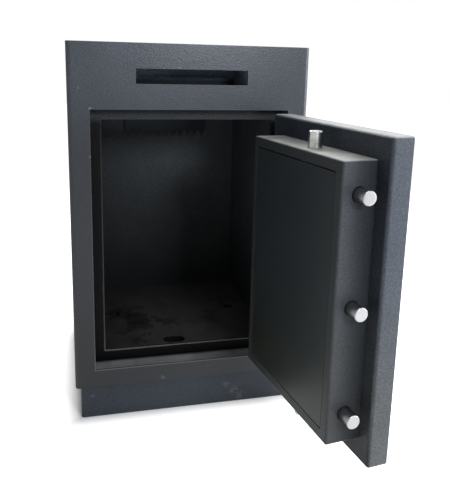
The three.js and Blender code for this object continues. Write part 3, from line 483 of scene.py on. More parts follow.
@dataclass(frozen=True)
class RecessShade:
    """Painted shade in a recess: from one depth to the next, below a height, in millimetres."""

    depth_start: float
    depth_end: float
    height_end: float
    height_start: float
    above: float

    def mask(self, sheet: Tree, place: Socket) -> Socket:
        """Builds the share of painted shade, as the product of a ramp in depth and one in height.

        Args:
            sheet: The material's tree.
            place: A place of the layout, in metres.

        Returns:
            The share, from 0 to 1.
        """
        _, depth, height = sheet.split(place)
        inward = sheet.ramp(depth, self.depth_start * MM, self.depth_end * MM)
        below = sheet.ramp(height, self.height_end * MM, self.height_start * MM, 1.0, self.above)
        return sheet.times(inward, below)


@dataclass(frozen=True)
class CornerShade:
    """Painted shade in an inner corner, full at one depth and none at the next, in millimetres.

    Behind the rear depth lies an even painted shade, with a share of its own low on the piece.
    """

    full: float
    none: float
    share: float
    rear: float
    rear_share: float
    rear_low_share: float
    rear_edge: ClassVar[float] = 5.0
    low_heights: ClassVar[tuple[float, float]] = (0.12, 0.19)

    def mask(self, sheet: Tree, place: Socket) -> Socket:
        """Builds the painted shade's share.

        Args:
            sheet: The material's tree.
            place: A place of the layout, in metres.

        Returns:
            The share, from 0 to 1.
        """
        _, depth, height = sheet.split(place)
        near = sheet.ramp(depth, self.full * MM, self.none * MM, self.share, 0.0)
        rear_shade = sheet.ramp(height, *self.low_heights, self.rear_low_share, self.rear_share)
        behind = sheet.ramp(depth, (self.rear - self.rear_edge) * MM, self.rear * MM, 0.0, rear_shade)
        return sheet.math("MAXIMUM", near, behind)


@dataclass(frozen=True)
class Chip:
    """A spot in the paint of the layout, in millimetres: a light chip, or a dark stain."""

    place: Triple
    radius: float
    share: float
    light: bool = True


def upright_chips(spots: Spots, depth: float) -> tuple[Chip, ...]:
    """Lists the light chips on an upright face from their x, z, radius and share."""
    return tuple(Chip((x, depth, z), radius, share) for x, z, radius, share in spots)


@dataclass(frozen=True)
class AgeAndShade:
    """What the paint of one piece has been through, and the shade painted on it.

    dust is a factor on the cover of dust, which also paints the light on tops and is never more
    than full, and wear one on how far its worn edges show along boxes and rims. The paint can be chipped
    or stained in spots, and carry painted shade in a recess and in a corner.
    """

    dust: float
    wear: float
    boxes: tuple[EdgeBox, ...] = ()
    rims: tuple[Rim, ...] = ()
    chips: tuple[Chip, ...] = ()
    recess_shade: RecessShade | None = None
    corner: CornerShade | None = None


class Sheen:
    """What every finish's material starts with: coordinates of the layout, a normal and a shader."""

    def __init__(self, name: str, hung: Hung) -> None:
        """Opens a material.

        Args:
            name: The material's name.
            hung: What the finished piece belongs to.
        """
        self.material = bpy.data.materials.new(name)
        self.material.use_nodes = True
        self.sheet = Tree(self.material.node_tree)
        location, rotation = LAYOUT.pattern_step(hung)
        coordinates = self.sheet.node("ShaderNodeTexCoord").outputs["Object"]
        inputs = {"Vector": coordinates, "Location": location, "Rotation": rotation}
        self.place = self.sheet.node("ShaderNodeMapping", inputs, vector_type="POINT").outputs["Vector"]
        self.normal = self.sheet.node("ShaderNodeNewGeometry").outputs["Normal"]

    def use(self, group: Group, **inputs: object) -> dict[str, Socket]:
        """Adds a shared group at the piece's own place, and returns its outputs by name."""
        return self.sheet.node("ShaderNodeGroup", {"Vector": self.place, **inputs}, node_tree=group).outputs

    def finish(self, inputs: dict[str, object], height: Socket, depth: float) -> Material:
        """Adds the shader.

        Args:
            inputs: The shader's values or sockets by name.
            height: The relief, from 0 to 1, which bends the normal.
            depth: How deep the relief is, in millimetres.

        Returns:
            The material.
        """
        bump = self.sheet.node("ShaderNodeBump", {"Height": height, "Strength": 1.0, "Distance": depth * MM})
        shader = self.sheet.node("ShaderNodeBsdfPrincipled", {**inputs, "Normal": bump.outputs["Normal"]})
        self.sheet.node("ShaderNodeOutputMaterial", {"Surface": shader.outputs["BSDF"]})
        return self.material


PAINT_CLOUDS = Noise(9.0, 5.0, 0.6)
PAINT_FLECKS = Noise(330.0, 2.0, 0.7, 0.28, 0.72)
PAINT_ROUGHNESS = Noise(40.0, 3.0, 0.6)
SIDE_FACING = (0.5, 0.9)
DUST_ROUGHNESS = 0.25
LEFT_PLACES = (0.0, 0.3)
LEFT_HEIGHTS = (0.52, 0.66)
WEAR_FOOT = (0.09, 0.19, 1.0, 0.45)
WEAR_RISE = (0.2, 0.62, 1.0, 0.3)


@dataclass(frozen=True)
class TexturedPaint:
    """Sprayed paint with a fine pebbled skin, worn to a paler tone at its edges, and dusty on top, where the
    dust also paints the light that falls on top.

    Its colour is multiplied by low_painted_light up to low_height and by high_painted_light from
    high_height, in metres, which paints light and shade by height. Towards the left its factor goes to
    left_low, and higher up to left_high, which paints light and shade across.
    """

    colour: Colour
    worn: Colour
    dust_and_sheen_tone: Colour
    roughness: float
    gloss: float = 0.25
    pebble: float = 2.4
    depth: float = 0.26
    glint: float = 0.45
    mottle: float = 0.12
    # Dark tone of stains and of painted shade.
    stain_and_shade: Colour = (0.003, 0.003, 0.0035)
    low_painted_light: Colour = grey(1.0)
    high_painted_light: Colour = grey(1.0)
    low_height: float = 0.13
    high_height: float = 0.46
    speckle: float = 0.22
    unevenness: float = 0.03
    side_roughness: float = 0.0
    left_low: float = 1.0
    left_high: float = 1.0

    def sprayed(self, coat: Sheen, glint: Socket) -> Socket:
        """Builds the clean paint's colour: painted light and shade by height, clouds, flecks and glinting
        grains.

        Args:
            coat: The material that is being built.
            glint: How much each grain glints, from 0 to 1.

        Returns:
            The colour.
        """
        sheet, place = coat.sheet, coat.place
        # Painted light and shade: the colour's factor by height.
        raised = sheet.ramp(sheet.split(place)[2], self.low_height, self.high_height)
        graded = sheet.mix(raised, rgba(self.low_painted_light), rgba(self.high_painted_light))
        tone = sheet.vector("MULTIPLY", graded, self.colour)
        clouds = sheet.cloud(place, PAINT_CLOUDS, 1.0 - self.mottle, 1.0 + self.mottle)
        flecks = sheet.cloud(place, PAINT_FLECKS, 1.0 - self.speckle, 1.0 + self.speckle)
        colour = sheet.scaled(tone, sheet.times(clouds, flecks))
        return sheet.mix(sheet.times(glint, self.glint), colour, rgba(self.worn))

    def rough(self, coat: Sheen) -> Socket:
        """Builds the clean paint's roughness, which is greater on faces that look to the side.

        Args:
            coat: The material that is being built.

        Returns:
            The roughness.
        """
        sheet = coat.sheet
        facing = sheet.math("ABSOLUTE", sheet.split(coat.normal)[0])
        even = sheet.cloud(coat.place, PAINT_ROUGHNESS, self.roughness - self.unevenness,
                           self.roughness + self.unevenness)
        return sheet.plus(even, sheet.ramp(facing, *SIDE_FACING, 0.0, self.side_roughness))

    def left_painted_light(self, coat: Sheen, colour: Socket) -> Socket:
        """Paints light and shade into a colour towards the left.

        Args:
            coat: The material that is being built.
            colour: The colour.

        Returns:
            The colour with painted light and shade.
        """
        across, _, height = coat.sheet.split(coat.place)
        edge = coat.sheet.ramp(height, *LEFT_HEIGHTS, self.left_low, self.left_high)
        return coat.sheet.scaled(colour, coat.sheet.ramp(across, *LEFT_PLACES, edge, 1.0))

    @staticmethod
    def worn_share(coat: Sheen, effects: Effects, age_and_shade: AgeAndShade) -> Socket | None:
        """Builds how far the worn edges show, which is most low on the safe.

        Args:
            coat: The material that is being built.
            effects: The shared groups.
            age_and_shade: What the paint has been through, and the shade painted on it.

        Returns:
            The share, from 0 to 1, or None where no edge is worn.
        """
        sheet = coat.sheet
        masks = [coat.use(effects.box_wear, Low=metres(box.low), High=metres(box.high), Width=box.width * MM)
                 for box in age_and_shade.boxes]
        masks += [coat.use(effects.rim_wear, Centre=metres(rim.centre), Half=metres(rim.half),
                           Width=rim.width * MM) for rim in age_and_shade.rims]
        if not masks:
            return None
        worn = masks[0]["Wear"]
        for mask in masks[1:]:
            worn = sheet.math("MAXIMUM", worn, mask["Wear"])
        height = sheet.split(coat.place)[2]
        lower = sheet.times(sheet.ramp(height, *WEAR_FOOT), sheet.ramp(height, *WEAR_RISE))
        return sheet.times(sheet.times(worn, lower), age_and_shade.wear)

    def make(self, name: str, effects: Effects, hung: Hung, age_and_shade: AgeAndShade) -> Material:
        """Makes the paint for one piece.

        Args:
            name: The material's name.
            effects: The shared groups.
            hung: What the piece belongs to.
            age_and_shade: What its paint has been through, and the shade painted on it.

        Returns:
            The material.
        """
        coat = Sheen(name, hung)
        sheet = coat.sheet
        skin = coat.use(effects.skin, Grain=self.pebble * MM)
        colour, roughness, gloss = self.sprayed(coat, skin["Glint"]), self.rough(coat), self.gloss
        # Dust on upward faces, which also paints the light that falls on tops.
        if age_and_shade.dust > 0.0:
            veil = coat.use(effects.dust, Normal=coat.normal, Amount=age_and_shade.dust)["DustAndSheen"]
            colour = sheet.mix(veil, colour, rgba(self.dust_and_sheen_tone))
            roughness = sheet.plus(roughness, sheet.times(veil, DUST_ROUGHNESS), clamp=True)
        # Painted light and shade towards the left.
        if self.left_low != 1.0:
            colour = self.left_painted_light(coat, colour)
        # Painted shade in a recess.
        if age_and_shade.recess_shade is not None:
            colour = sheet.mix(age_and_shade.recess_shade.mask(sheet, coat.place), colour, rgba(self.stain_and_shade))
        # Painted shade in a corner, which also dulls the gloss there.
        if age_and_shade.corner is not None:
            corner_shade = age_and_shade.corner.mask(sheet, coat.place)
            colour = sheet.mix(corner_shade, colour, rgba(self.stain_and_shade))
            gloss = sheet.times(sheet.math("SUBTRACT", 1.0, corner_shade), self.gloss)
        worn = self.worn_share(coat, effects, age_and_shade)
        if worn is not None:
            colour = sheet.mix(worn, colour, rgba(self.worn))
        for chip in age_and_shade.chips:
            spot = coat.use(effects.chip, Place=metres(chip.place), Radius=chip.radius * MM)["Chip"]
            bared = rgba(self.worn if chip.light else self.stain_and_shade)
            colour = sheet.mix(sheet.times(spot, chip.share), colour, bared)
        inputs = {"Base Color": colour, "Roughness": roughness, "Specular IOR Level": gloss}
        return coat.finish(inputs, skin["Height"], self.depth)


METAL_STAINS = Noise(60.0, 4.0, 0.65, 0.45, 0.75)
METAL_SPREAD = (0.3, 0.7)
METAL_SHADE = 0.4
DRAWN_SQUEEZE = 0.02
END_HIGHLIGHT_DEPTH = (0.4, 0.8)
AXES = {"x": (1.0, 0.0, 0.0), "y": (0.0, 1.0, 0.0), "z": (0.0, 0.0, 1.0)}


@dataclass(frozen=True)
class BareMetal:
    """Bare metal with the lines of its making, and faint stains."""

    colour: Colour
    stain: Colour
    roughness: float
    grain: Grain
    pitch: float
    depth: float
    stained: float
    smoother: float = 0.05
    rougher: float = 0.08

    def make(self, name: str, effects: Effects, hung: Hung, centre: Triple, axis: str,
             end_highlight: Colour | None) -> Material:
        """Makes the metal for one piece.

        A brighter tone at the end paints the end's highlight. It lies at the centre, square to the axis.
        A freshly faced end is brighter than the rest. It lies at the centre, square to the axis.

        Args:
            name: The material's name.
            effects: The shared groups.
            hung: What the piece belongs to.
            centre: A point of the piece's axis, in millimetres of the layout.
            axis: One of x, y and z.
            end_highlight: Tone of the painted highlight on the end at the centre, if there is one.

        Returns:
            The material.
        """
        coat = Sheen(name, hung)
        sheet = coat.sheet
        away = sheet.vector("SUBTRACT", coat.place, metres(centre))
        along = sheet.vector("DOT_PRODUCT", away, AXES[axis])
        side = sheet.vector("SUBTRACT", away, sheet.scaled(AXES[axis], along))
        across = away
        if self.grain is Grain.TURNED:
            across = sheet.join(along, sheet.vector("LENGTH", side), 0.0)
        elif self.grain is Grain.DRAWN:
            squeezed = tuple(value * DRAWN_SQUEEZE for value in AXES[axis])
            across = sheet.vector("ADD", side, sheet.scaled(squeezed, along))
        marks = coat.use(effects.marks, Vector=across, Pitch=self.pitch * MM)
        stains = sheet.times(sheet.cloud(coat.place, METAL_STAINS), self.stained)
        shade = sheet.mix(sheet.times(marks["Shade"], METAL_SHADE), rgba(self.colour), rgba(self.stain))
        shade = sheet.mix(stains, shade, rgba(self.stain))
        # Painted highlight on the end.
        if end_highlight is not None:
            end = sheet.ramp(sheet.math("ABSOLUTE", along), *(depth * MM for depth in END_HIGHLIGHT_DEPTH), 1.0, 0.0)
            shade = sheet.mix(end, shade, rgba(end_highlight))
        roughness = sheet.ramp(marks["Height"], *METAL_SPREAD, self.roughness - self.smoother,
                               self.roughness + self.rougher)
        inputs = {"Base Color": shade, "Roughness": roughness, "Metallic": 1.0}
        return coat.finish(inputs, marks["Height"], self.depth)


@dataclass(frozen=True)
class CastFilling:
    """Rough cast filling with small voids."""

    colour: Colour = (0.006, 0.006, 0.006)
    pale: Colour = (0.014, 0.014, 0.013)
    gloss: float = 0.04
    void: float = 6.0
    depth: float = 1.2
    clouds: Noise = Noise(22.0, 5.0, 0.65, 0.35, 0.7)
    roughness: tuple[float, ...] = (0.2, 0.8, 0.95, 0.8)

    def make(self, name: str, effects: Effects, hung: Hung) -> Material:
        """Makes the filling's material for one piece.

        Args:
            name: The material's name.
            effects: The shared groups.
            hung: What the piece belongs to.

        Returns:
            The material.
        """
        coat = Sheen(name, hung)
        skin = coat.use(effects.skin, Grain=self.void * MM)
        colour = coat.sheet.mix(coat.sheet.cloud(coat.place, self.clouds), rgba(self.colour), rgba(self.pale))
        roughness = coat.sheet.ramp(skin["Height"], *self.roughness)
        inputs = {"Base Color": colour, "Roughness": roughness, "Specular IOR Level": self.gloss}
        return coat.finish(inputs, skin["Height"], self.depth)


# The painted light factors of these paints paint light and shade: by height, such as the cabinet's lighter
# top and darker foot, floor light on the slab's low edge, a reflection on the cover and shade under the
# lintel; and across, such as the darker left of the cabinet and compartment.
CABINET_PAINT = TexturedPaint(
    (0.030, 0.037, 0.047), (0.26, 0.26, 0.265), (0.60, 0.60, 0.58), 0.30, 0.37, low_painted_light=grey(0.52),
    high_painted_light=grey(1.10), low_height=0.06, high_height=0.74, unevenness=0.015, side_roughness=0.35,
    left_low=0.62, left_high=1.16)
ROOF_PAINT = TexturedPaint((0.034, 0.041, 0.050), (0.22, 0.22, 0.225), (0.16, 0.16, 0.155), 0.52, 0.12)
FRAME_PAINT = TexturedPaint(
    (0.062, 0.070, 0.075), grey(0.34), (0.62, 0.62, 0.60), 0.50, 0.08, high_painted_light=grey(0.74), low_height=0.30,
    high_height=0.56)
BAFFLE_PAINT = TexturedPaint((0.034, 0.039, 0.043), grey(0.12), grey(0.05), 0.55, 0.12, glint=0.15)
PLINTH_PAINT = TexturedPaint((0.030, 0.038, 0.048), (0.17, 0.17, 0.175), (0.12, 0.115, 0.10), 0.50)
LINER_PAINT = TexturedPaint(
    (0.074, 0.082, 0.087), grey(0.12), (0.086, 0.082, 0.079), 0.58, 0.12, glint=0.15, low_painted_light=grey(0.30),
    high_painted_light=grey(1.2), left_low=0.35, left_high=0.6)
# The chute's pale colour, darkened low down and to the left, paints the light and shade seen through the
# slot.
CHUTE_PAINT = TexturedPaint(
    (0.48, 0.55, 0.66), (0.22, 0.22, 0.23), grey(0.18), 0.50, 0.2, glint=0.0, low_painted_light=(0.28, 0.26, 0.24),
    low_height=0.640, high_height=0.655, left_low=0.0, left_high=0.0)
# The deflector's tone, raised about sixfold at its top and darker to the left, paints light into the shade
# behind the slot.
DEFLECTOR_PAINT = TexturedPaint(
    (0.092, 0.114, 0.145), (0.12, 0.12, 0.125), grey(0.08), 0.50, 0.1, glint=0.1, low_painted_light=grey(0.30),
    high_painted_light=grey(6.2), low_height=0.652, high_height=0.674, left_low=0.10, left_high=0.10)
SLAB_PAINT = TexturedPaint(
    (0.053, 0.062, 0.074), grey(0.26), (0.55, 0.56, 0.55), 0.44, low_painted_light=(1.42, 1.34, 1.16),
    high_painted_light=(0.95, 0.98, 1.06), low_height=0.12, high_height=0.48, speckle=0.3)
DOOR_PAINT = TexturedPaint(
    (0.054, 0.062, 0.072), grey(0.24), (0.55, 0.56, 0.53), 0.46, low_painted_light=(0.86, 0.83, 0.74),
    high_painted_light=(0.77, 0.76, 0.74), low_height=0.12, high_height=0.45)
COVER_PAINT = TexturedPaint(
    (0.027, 0.034, 0.032), grey(0.16), (0.16, 0.16, 0.14), 0.34, 0.18, depth=0.2, mottle=0.06, unevenness=0.0,
    low_painted_light=(0.80, 0.78, 0.55), high_painted_light=(1.3, 1.3, 1.5), low_height=0.14, high_height=0.36)
TURNED_STEEL = BareMetal((0.24, 0.245, 0.25), grey(0.12), 0.30, Grain.TURNED, 0.8, 0.05, 0.5)
BRIGHT_STEEL = BareMetal((0.47, 0.47, 0.455), grey(0.15), 0.28, Grain.TURNED, 1.2, 0.05, 0.6)
BLACKED_STEEL = BareMetal(grey(0.035), grey(0.02), 0.6, Grain.DRAWN, 0.8, 0.03, 0.5)
ROLLED_STEEL = BareMetal((0.30, 0.31, 0.32), (0.16, 0.15, 0.14), 0.48, Grain.DRAWN, 0.8, 0.03, 0.5)
POLISHED_CHROME = BareMetal((0.42, 0.43, 0.44), grey(0.26), 0.16, Grain.PLAIN, 3.0, 0.01, 0.25)
PLAIN_BRASS = BareMetal((0.55, 0.38, 0.14), (0.30, 0.19, 0.07), 0.34, Grain.TURNED, 0.7, 0.02, 0.4)
END_HIGHLIGHT_STEEL = (0.36, 0.365, 0.375)


class Former:
    """Makes closed meshes from arrays of rings."""

    @staticmethod
    def mesh_object(name: str, points: np.ndarray, faces: list[np.ndarray]) -> bpy.types.Object:
        """Makes an object from points and faces.

        Args:
            name: The object's name.
            points: Array of n points, in metres of the frame.
            faces: Arrays of faces, each array with one number of corners.

        Returns:
            The new object, at the origin.
        """
        mesh = bpy.data.meshes.new(name)
        corners = np.concatenate([part.ravel() for part in faces]).astype(np.int32)
        totals = np.concatenate([np.full(len(part), part.shape[1]) for part in faces])
        starts = (np.cumsum(totals) - totals).astype(np.int32)
        mesh.vertices.add(len(points))
        mesh.vertices.foreach_set("co", np.ascontiguousarray(points, dtype=np.float32).ravel())
        mesh.loops.add(len(corners))
        mesh.loops.foreach_set("vertex_index", corners)
        mesh.polygons.add(len(totals))
        mesh.polygons.foreach_set("loop_start", starts)
        mesh.update(calc_edges=True)
        mesh.validate()
        mesh.shade_smooth()
        mesh.set_sharp_from_angle(angle=float(np.radians(SMOOTH_ANGLE)))
        made = bpy.data.objects.new(name, mesh)
        bpy.context.scene.collection.objects.link(made)
        return made

    @staticmethod
    def skin(rings: np.ndarray, ends: np.ndarray | None) -> tuple[np.ndarray, list[np.ndarray]]:
        """Joins rings of points into one closed skin.

        Args:
            rings: Array (rings, points, 3), each ring turning the same way.
            ends: The two points to which the first and the last ring fan in, or None where the last ring
                joins the first, as on a washer.

        Returns:
            The points and the faces.
        """
        count, around, _ = rings.shape
        ring = np.arange(count if ends is None else count - 1)[:, None]
        here, there = ring * around, (ring + 1) % count * around
        one = np.arange(around)
        two = (one + 1) % around
        quads = np.stack([here + one, here + two, there + two, there + one], -1).reshape(-1, 4)
        points = rings.reshape(-1, 3)
        if ends is None:
            return points, [quads]
        first, last = np.full(around, len(points)), np.full(around, len(points) + 1)
        top = (count - 1) * around
        fans = [np.stack([first, two, one], -1), np.stack([last, top + one, top + two], -1)]
        return np.concatenate([points, ends]), [quads, *fans]

    @staticmethod
    def lathe(profile: np.ndarray, centre: Triple, axis: str, sides: int) -> np.ndarray:
        """Turns a profile about an axis of the layout.

        A point of the ring at angle t lies at radius times (cos t, sin t) across the axis, and at its
        place along it. Around x the two cross directions are y and z, around y they are z and x, and
        around z they are x and y.

        Args:
            profile: Array of (radius, place along the axis).
            centre: A point of the axis, in millimetres.
            axis: One of x, y and z.
            sides: How many points a ring has.

        Returns:
            Array (profile points, sides, 3), in millimetres.
        """
        turn = np.linspace(0.0, FULL_TURN, sides, endpoint=False)
        first = profile[:, :1] * np.cos(turn)
        second = profile[:, :1] * np.sin(turn)
        along = np.broadcast_to(profile[:, 1:], first.shape)
        order = {"x": (along, first, second), "y": (second, along, first), "z": (first, second, along)}[axis]
        return np.stack(order, -1) + np.array(centre)

    @staticmethod
    def round_corners(profile: Profile, steps: int = 5) -> np.ndarray:
        """Rounds the corners of an open profile.

        Each corner is swapped for a quadratic curve that leaves and joins its two lines at the
        corner's own radius, or at under half of the shorter line.

        Args:
            profile: Points as (radius, along, rounding).
            steps: Points that a rounded corner gets.

        Returns:
            Array of (radius, along).
        """
        table = np.array(profile, dtype=float)
        bare, rounding = table[:, :2], table[1:-1, 2:]
        corner = bare[1:-1]
        leave, join = bare[:-2] - corner, bare[2:] - corner
        leave_length, join_length = (np.hypot(line[:, :1], line[:, 1:]) for line in (leave, join))
        reach = np.minimum(rounding, CORNER_SHARE * np.minimum(leave_length, join_length))
        start = (corner + leave * (reach / leave_length))[:, None]
        end = (corner + join * (reach / join_length))[:, None]
        share = np.linspace(0.0, 1.0, steps)[None, :, None]
        curve = (1 - share) ** 2 * start + 2 * share * (1 - share) * corner[:, None] + share ** 2 * end
        kept = (rounding > 0.0) | (np.arange(steps)[None] == 0)
        return np.concatenate([bare[:1], curve[kept], bare[-1:]])

    @staticmethod
    def superellipse(turn: np.ndarray, power: float) -> tuple[np.ndarray, np.ndarray]:
        """Gives a superellipse whose half axes are 1.

        Its parts are the cosine and the sine, each raised to 2 over the power with its sign kept.

        Args:
            turn: Angles in radians.
            power: The power, which is 2 for a circle and more for a squarer shape.

        Returns:
            The cosine part and the sine part, of the angles' shape.
        """
        cos, sin = np.cos(turn), np.sin(turn)
        share = 2.0 / power
        return np.sign(cos) * np.abs(cos) ** share, np.sign(sin) * np.abs(sin) ** share


@dataclass(frozen=True)
class Role:
    """What a finished piece is in the scene: its name, body, slot and finish, and solids it stands for."""

    name: str
    body: str
    slot: str
    material: Material
    nodes: tuple[str, ...] = ()


@dataclass(frozen=True)
class Assembly:
    """What every sub-assembly shares: the node groups, and ways to dress solids and add pieces."""

    effects: Effects
    hung: ClassVar[Hung] = Hung.DOOR

    @staticmethod
    def dress(material: Material, *names: str) -> None:
        """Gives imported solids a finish.

        Args:
            material: The finish.
            *names: The solids' names.
        """
        for name in names:
            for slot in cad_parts[name].material_slots:
                slot.material = material
            LOG.info("dressed %s in %s", name, material.name)

    def paint(self, name: str, paint: TexturedPaint, age_and_shade: AgeAndShade, *solids: str) -> None:
        """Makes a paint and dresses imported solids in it."""
        self.dress(paint.make(name, self.effects, self.hung, age_and_shade), *solids)

    def cast(self, name: str, solid: str) -> None:
        """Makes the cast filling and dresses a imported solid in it."""
        self.dress(CastFilling().make(name, self.effects, self.hung), solid)

    def metal(self, name: str, metal: BareMetal, *solids: str, centre: Triple = (0.0, 0.0, 0.0),
              axis: str = "x", end_highlight: Colour | None = None) -> Material:
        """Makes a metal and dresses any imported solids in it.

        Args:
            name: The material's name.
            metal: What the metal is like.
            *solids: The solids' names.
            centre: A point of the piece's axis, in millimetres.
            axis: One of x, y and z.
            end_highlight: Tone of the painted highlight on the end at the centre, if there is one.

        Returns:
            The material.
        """
        made = metal.make(name, self.effects, self.hung, centre, axis, end_highlight)
        self.dress(made, *solids)
        return made

    def fit(self, role: Role, rings: np.ndarray, ends: np.ndarray | None = None) -> None:
        """Makes one piece from rings in the layout and hands it to its body.

        Args:
            role: What the piece is in the scene.
            rings: Array (rings, points, 3) in millimetres of the layout.
            ends: Points that close its two ends, or None where the rings close on themselves.
        """
        body, slot, nodes = role.body, role.slot, role.nodes
        points, faces = Former.skin(rings, ends)
        piece = Former.mesh_object(role.name, LAYOUT.place(points, self.hung), faces)
        piece.data.materials.append(role.material)
        if nodes:
            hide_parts(*nodes)
        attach(piece, body)
        LOG.info("made %s on %s, %d faces", role.name, body, len(piece.data.polygons))

    def turned(self, role: Role, profile: Profile, centre: Triple, axis: str, sides: int) -> None:
        """Turns one piece from a profile that starts and ends on its axis.

        Args:
            role: What the piece is in the scene.
            profile: Points as (radius, along, rounding).
            centre: A point of the axis, in millimetres.
            axis: One of x, y and z.
            sides: How many points a ring has.
        """
        line = Former.round_corners(profile)
        ends = Former.lathe(line[[0, -1]], centre, axis, 1)[:, 0]
        self.fit(role, Former.lathe(line[1:-1], centre, axis, sides), ends)


@dataclass(frozen=True)
class Cabinet(Assembly):
    """The body, its plinth, the door's frame, the compartment and the way down for deposits.

    Chips and scuffs are given by x, z, radius and share, and the floor's stains by x, y, radius and share.
    """

    hung: ClassVar[Hung] = Hung.CABINET
    width: float = 450.0
    depth: float = 440.0
    top: float = 723.0
    plinth_top: float = 65.0
    plinth_side: float = 10.0
    plinth_front: float = 4.0
    left: float = 39.0
    right: float = 411.0
    rebate: float = 40.0
    sill: float = 101.0
    lintel: float = 605.0
    lip: float = 21.0
    floor: float = 121.7
    anchor_depth: float = 217.5
    anchors: tuple[tuple[str, float], ...] = (("left", 91.0), ("right", 359.0))
    chips: Spots = ((39.5, 607.0, 3.2, 0.5), (38.0, 520.0, 2.4, 0.45), (170.5, 72.5, 4.5, 0.4),
                    (20.0, 642.0, 2.4, 0.3), (200.0, 681.0, 4.0, 0.16), (262.0, 88.0, 2.0, 0.3))
    scuffs: Spots = ((318.0, 27.0, 9.0, 0.28), (302.0, 40.0, 6.0, 0.25), (333.0, 12.0, 8.0, 0.25),
                     (32.0, 44.0, 4.0, 0.3))
    stains: Spots = ((104.0, 218.0, 40.0, 0.55), (150.0, 185.0, 50.0, 0.6), (140.0, 135.0, 42.0, 0.55),
                     (127.0, 74.0, 20.0, 0.5), (299.0, 167.0, 24.0, 0.45), (205.0, 150.0, 22.0, 0.45),
                     (354.0, 256.0, 34.0, 0.4))

    def build(self) -> None:
        """Dresses the cabinet's solids."""
        shell = EdgeBox((0.0, 0.0, self.plinth_top), (self.width, self.depth, self.top))
        foot = EdgeBox((self.plinth_side, self.plinth_front, 0.0),
                       (self.width - self.plinth_side, self.depth - self.plinth_front, self.plinth_top),
                       width=2.0)
        mouth = Rim(self.left, self.right, self.sill, self.lintel, depth=0.0, width=2.6)
        inner = Rim(self.left + self.lip, self.right - self.lip, self.sill + self.lip, self.lintel - self.lip,
                    depth=self.rebate, width=4.0)
        # Painted shade in the lips of the door's recess, all but the top one.
        lip_shade = RecessShade(depth_start=26.0, depth_end=39.0, height_end=574.0, height_start=590.0, above=0.1)
        stains = tuple(Chip((x, y, self.floor), radius, share, False) for x, y, radius, share in self.stains)
        chips, scuffs = upright_chips(self.chips, 0.0), upright_chips(self.scuffs, self.plinth_front)
        for name, paint, age_and_shade, solids in (
                ("cabinet_front_paint", CABINET_PAINT, AgeAndShade(dust=0.25, wear=0.6, rims=(mouth,), chips=chips),
                 "body_wrap"),
                ("cabinet_paint", CABINET_PAINT, AgeAndShade(dust=0.3, wear=0.5, boxes=(shell,)),
                 "base_plate back_plate hinge_knuckle_frame_upper hinge_knuckle_frame_lower"),
                ("roof_paint", ROOF_PAINT, AgeAndShade(dust=0.25, wear=0.5, boxes=(shell,)), "roof_plate"),
                ("plinth_paint", PLINTH_PAINT, AgeAndShade(dust=0.2, wear=0.4, boxes=(foot,), chips=scuffs),
                 "plinth"),
                ("door_frame_paint", FRAME_PAINT,
                 AgeAndShade(dust=0.5, wear=0.56, rims=(mouth, inner), recess_shade=lip_shade), "door_jamb"),
                ("compartment_paint", LINER_PAINT, AgeAndShade(dust=1.0, wear=0.4, chips=stains), "inner_liner"),
                ("baffle_paint", BAFFLE_PAINT, AgeAndShade(dust=0.2, wear=0.3), "toothed_baffle"),
                ("chute_paint", CHUTE_PAINT, AgeAndShade(dust=0.2, wear=0.4), "deposit_chute"),
                ("deflector_paint", DEFLECTOR_PAINT, AgeAndShade(dust=0.2, wear=0.4), "slot_deflector")):
            self.paint(name, paint, age_and_shade, *solids.split())
        self.cast("wall_cast", "wall_filling")
        for side, x in self.anchors:
            name = f"anchor_sleeve_{side}"
            self.metal(f"{name}_steel", BLACKED_STEEL, name, centre=(x, self.anchor_depth, 0.0), axis="z")


@dataclass(frozen=True)
class HingePins(Assembly):
    """The two headed pins that the door turns on, with domed heads."""

    hung: ClassVar[Hung] = Hung.CABINET
    radius: float = 5.0
    head: float = 7.5
    head_length: float = 3.0
    knuckle: float = 36.0
    gap: float = 0.3
    heights: tuple[tuple[str, float], ...] = (("upper", 539.0), ("lower", 167.0))
    sides: int = 64

    def build(self) -> None:
        """Makes both pins from one rounded profile."""
        centre = (LAYOUT.hinge_x, LAYOUT.hinge_y, 0.0)
        steel = self.metal("hinge_pin_steel", TURNED_STEEL, centre=centre, axis="z")
        for name, z in self.heights:
            low, top = z - self.knuckle, z + self.knuckle + self.gap
            crown = top + self.head_length
            profile = [(0.0, low, 0.0), (self.radius, low, 0.8), (self.radius, top, 0.0),
                       (self.head, top, 0.4), (self.head, crown, 1.6), (0.0, crown, 0.0)]
            role = Role(f"turned_hinge_pin_{name}", "cabinet", "turned_steel", steel, (f"hinge_pin_{name}",))
            self.turned(role, profile, centre, "z", self.sides)


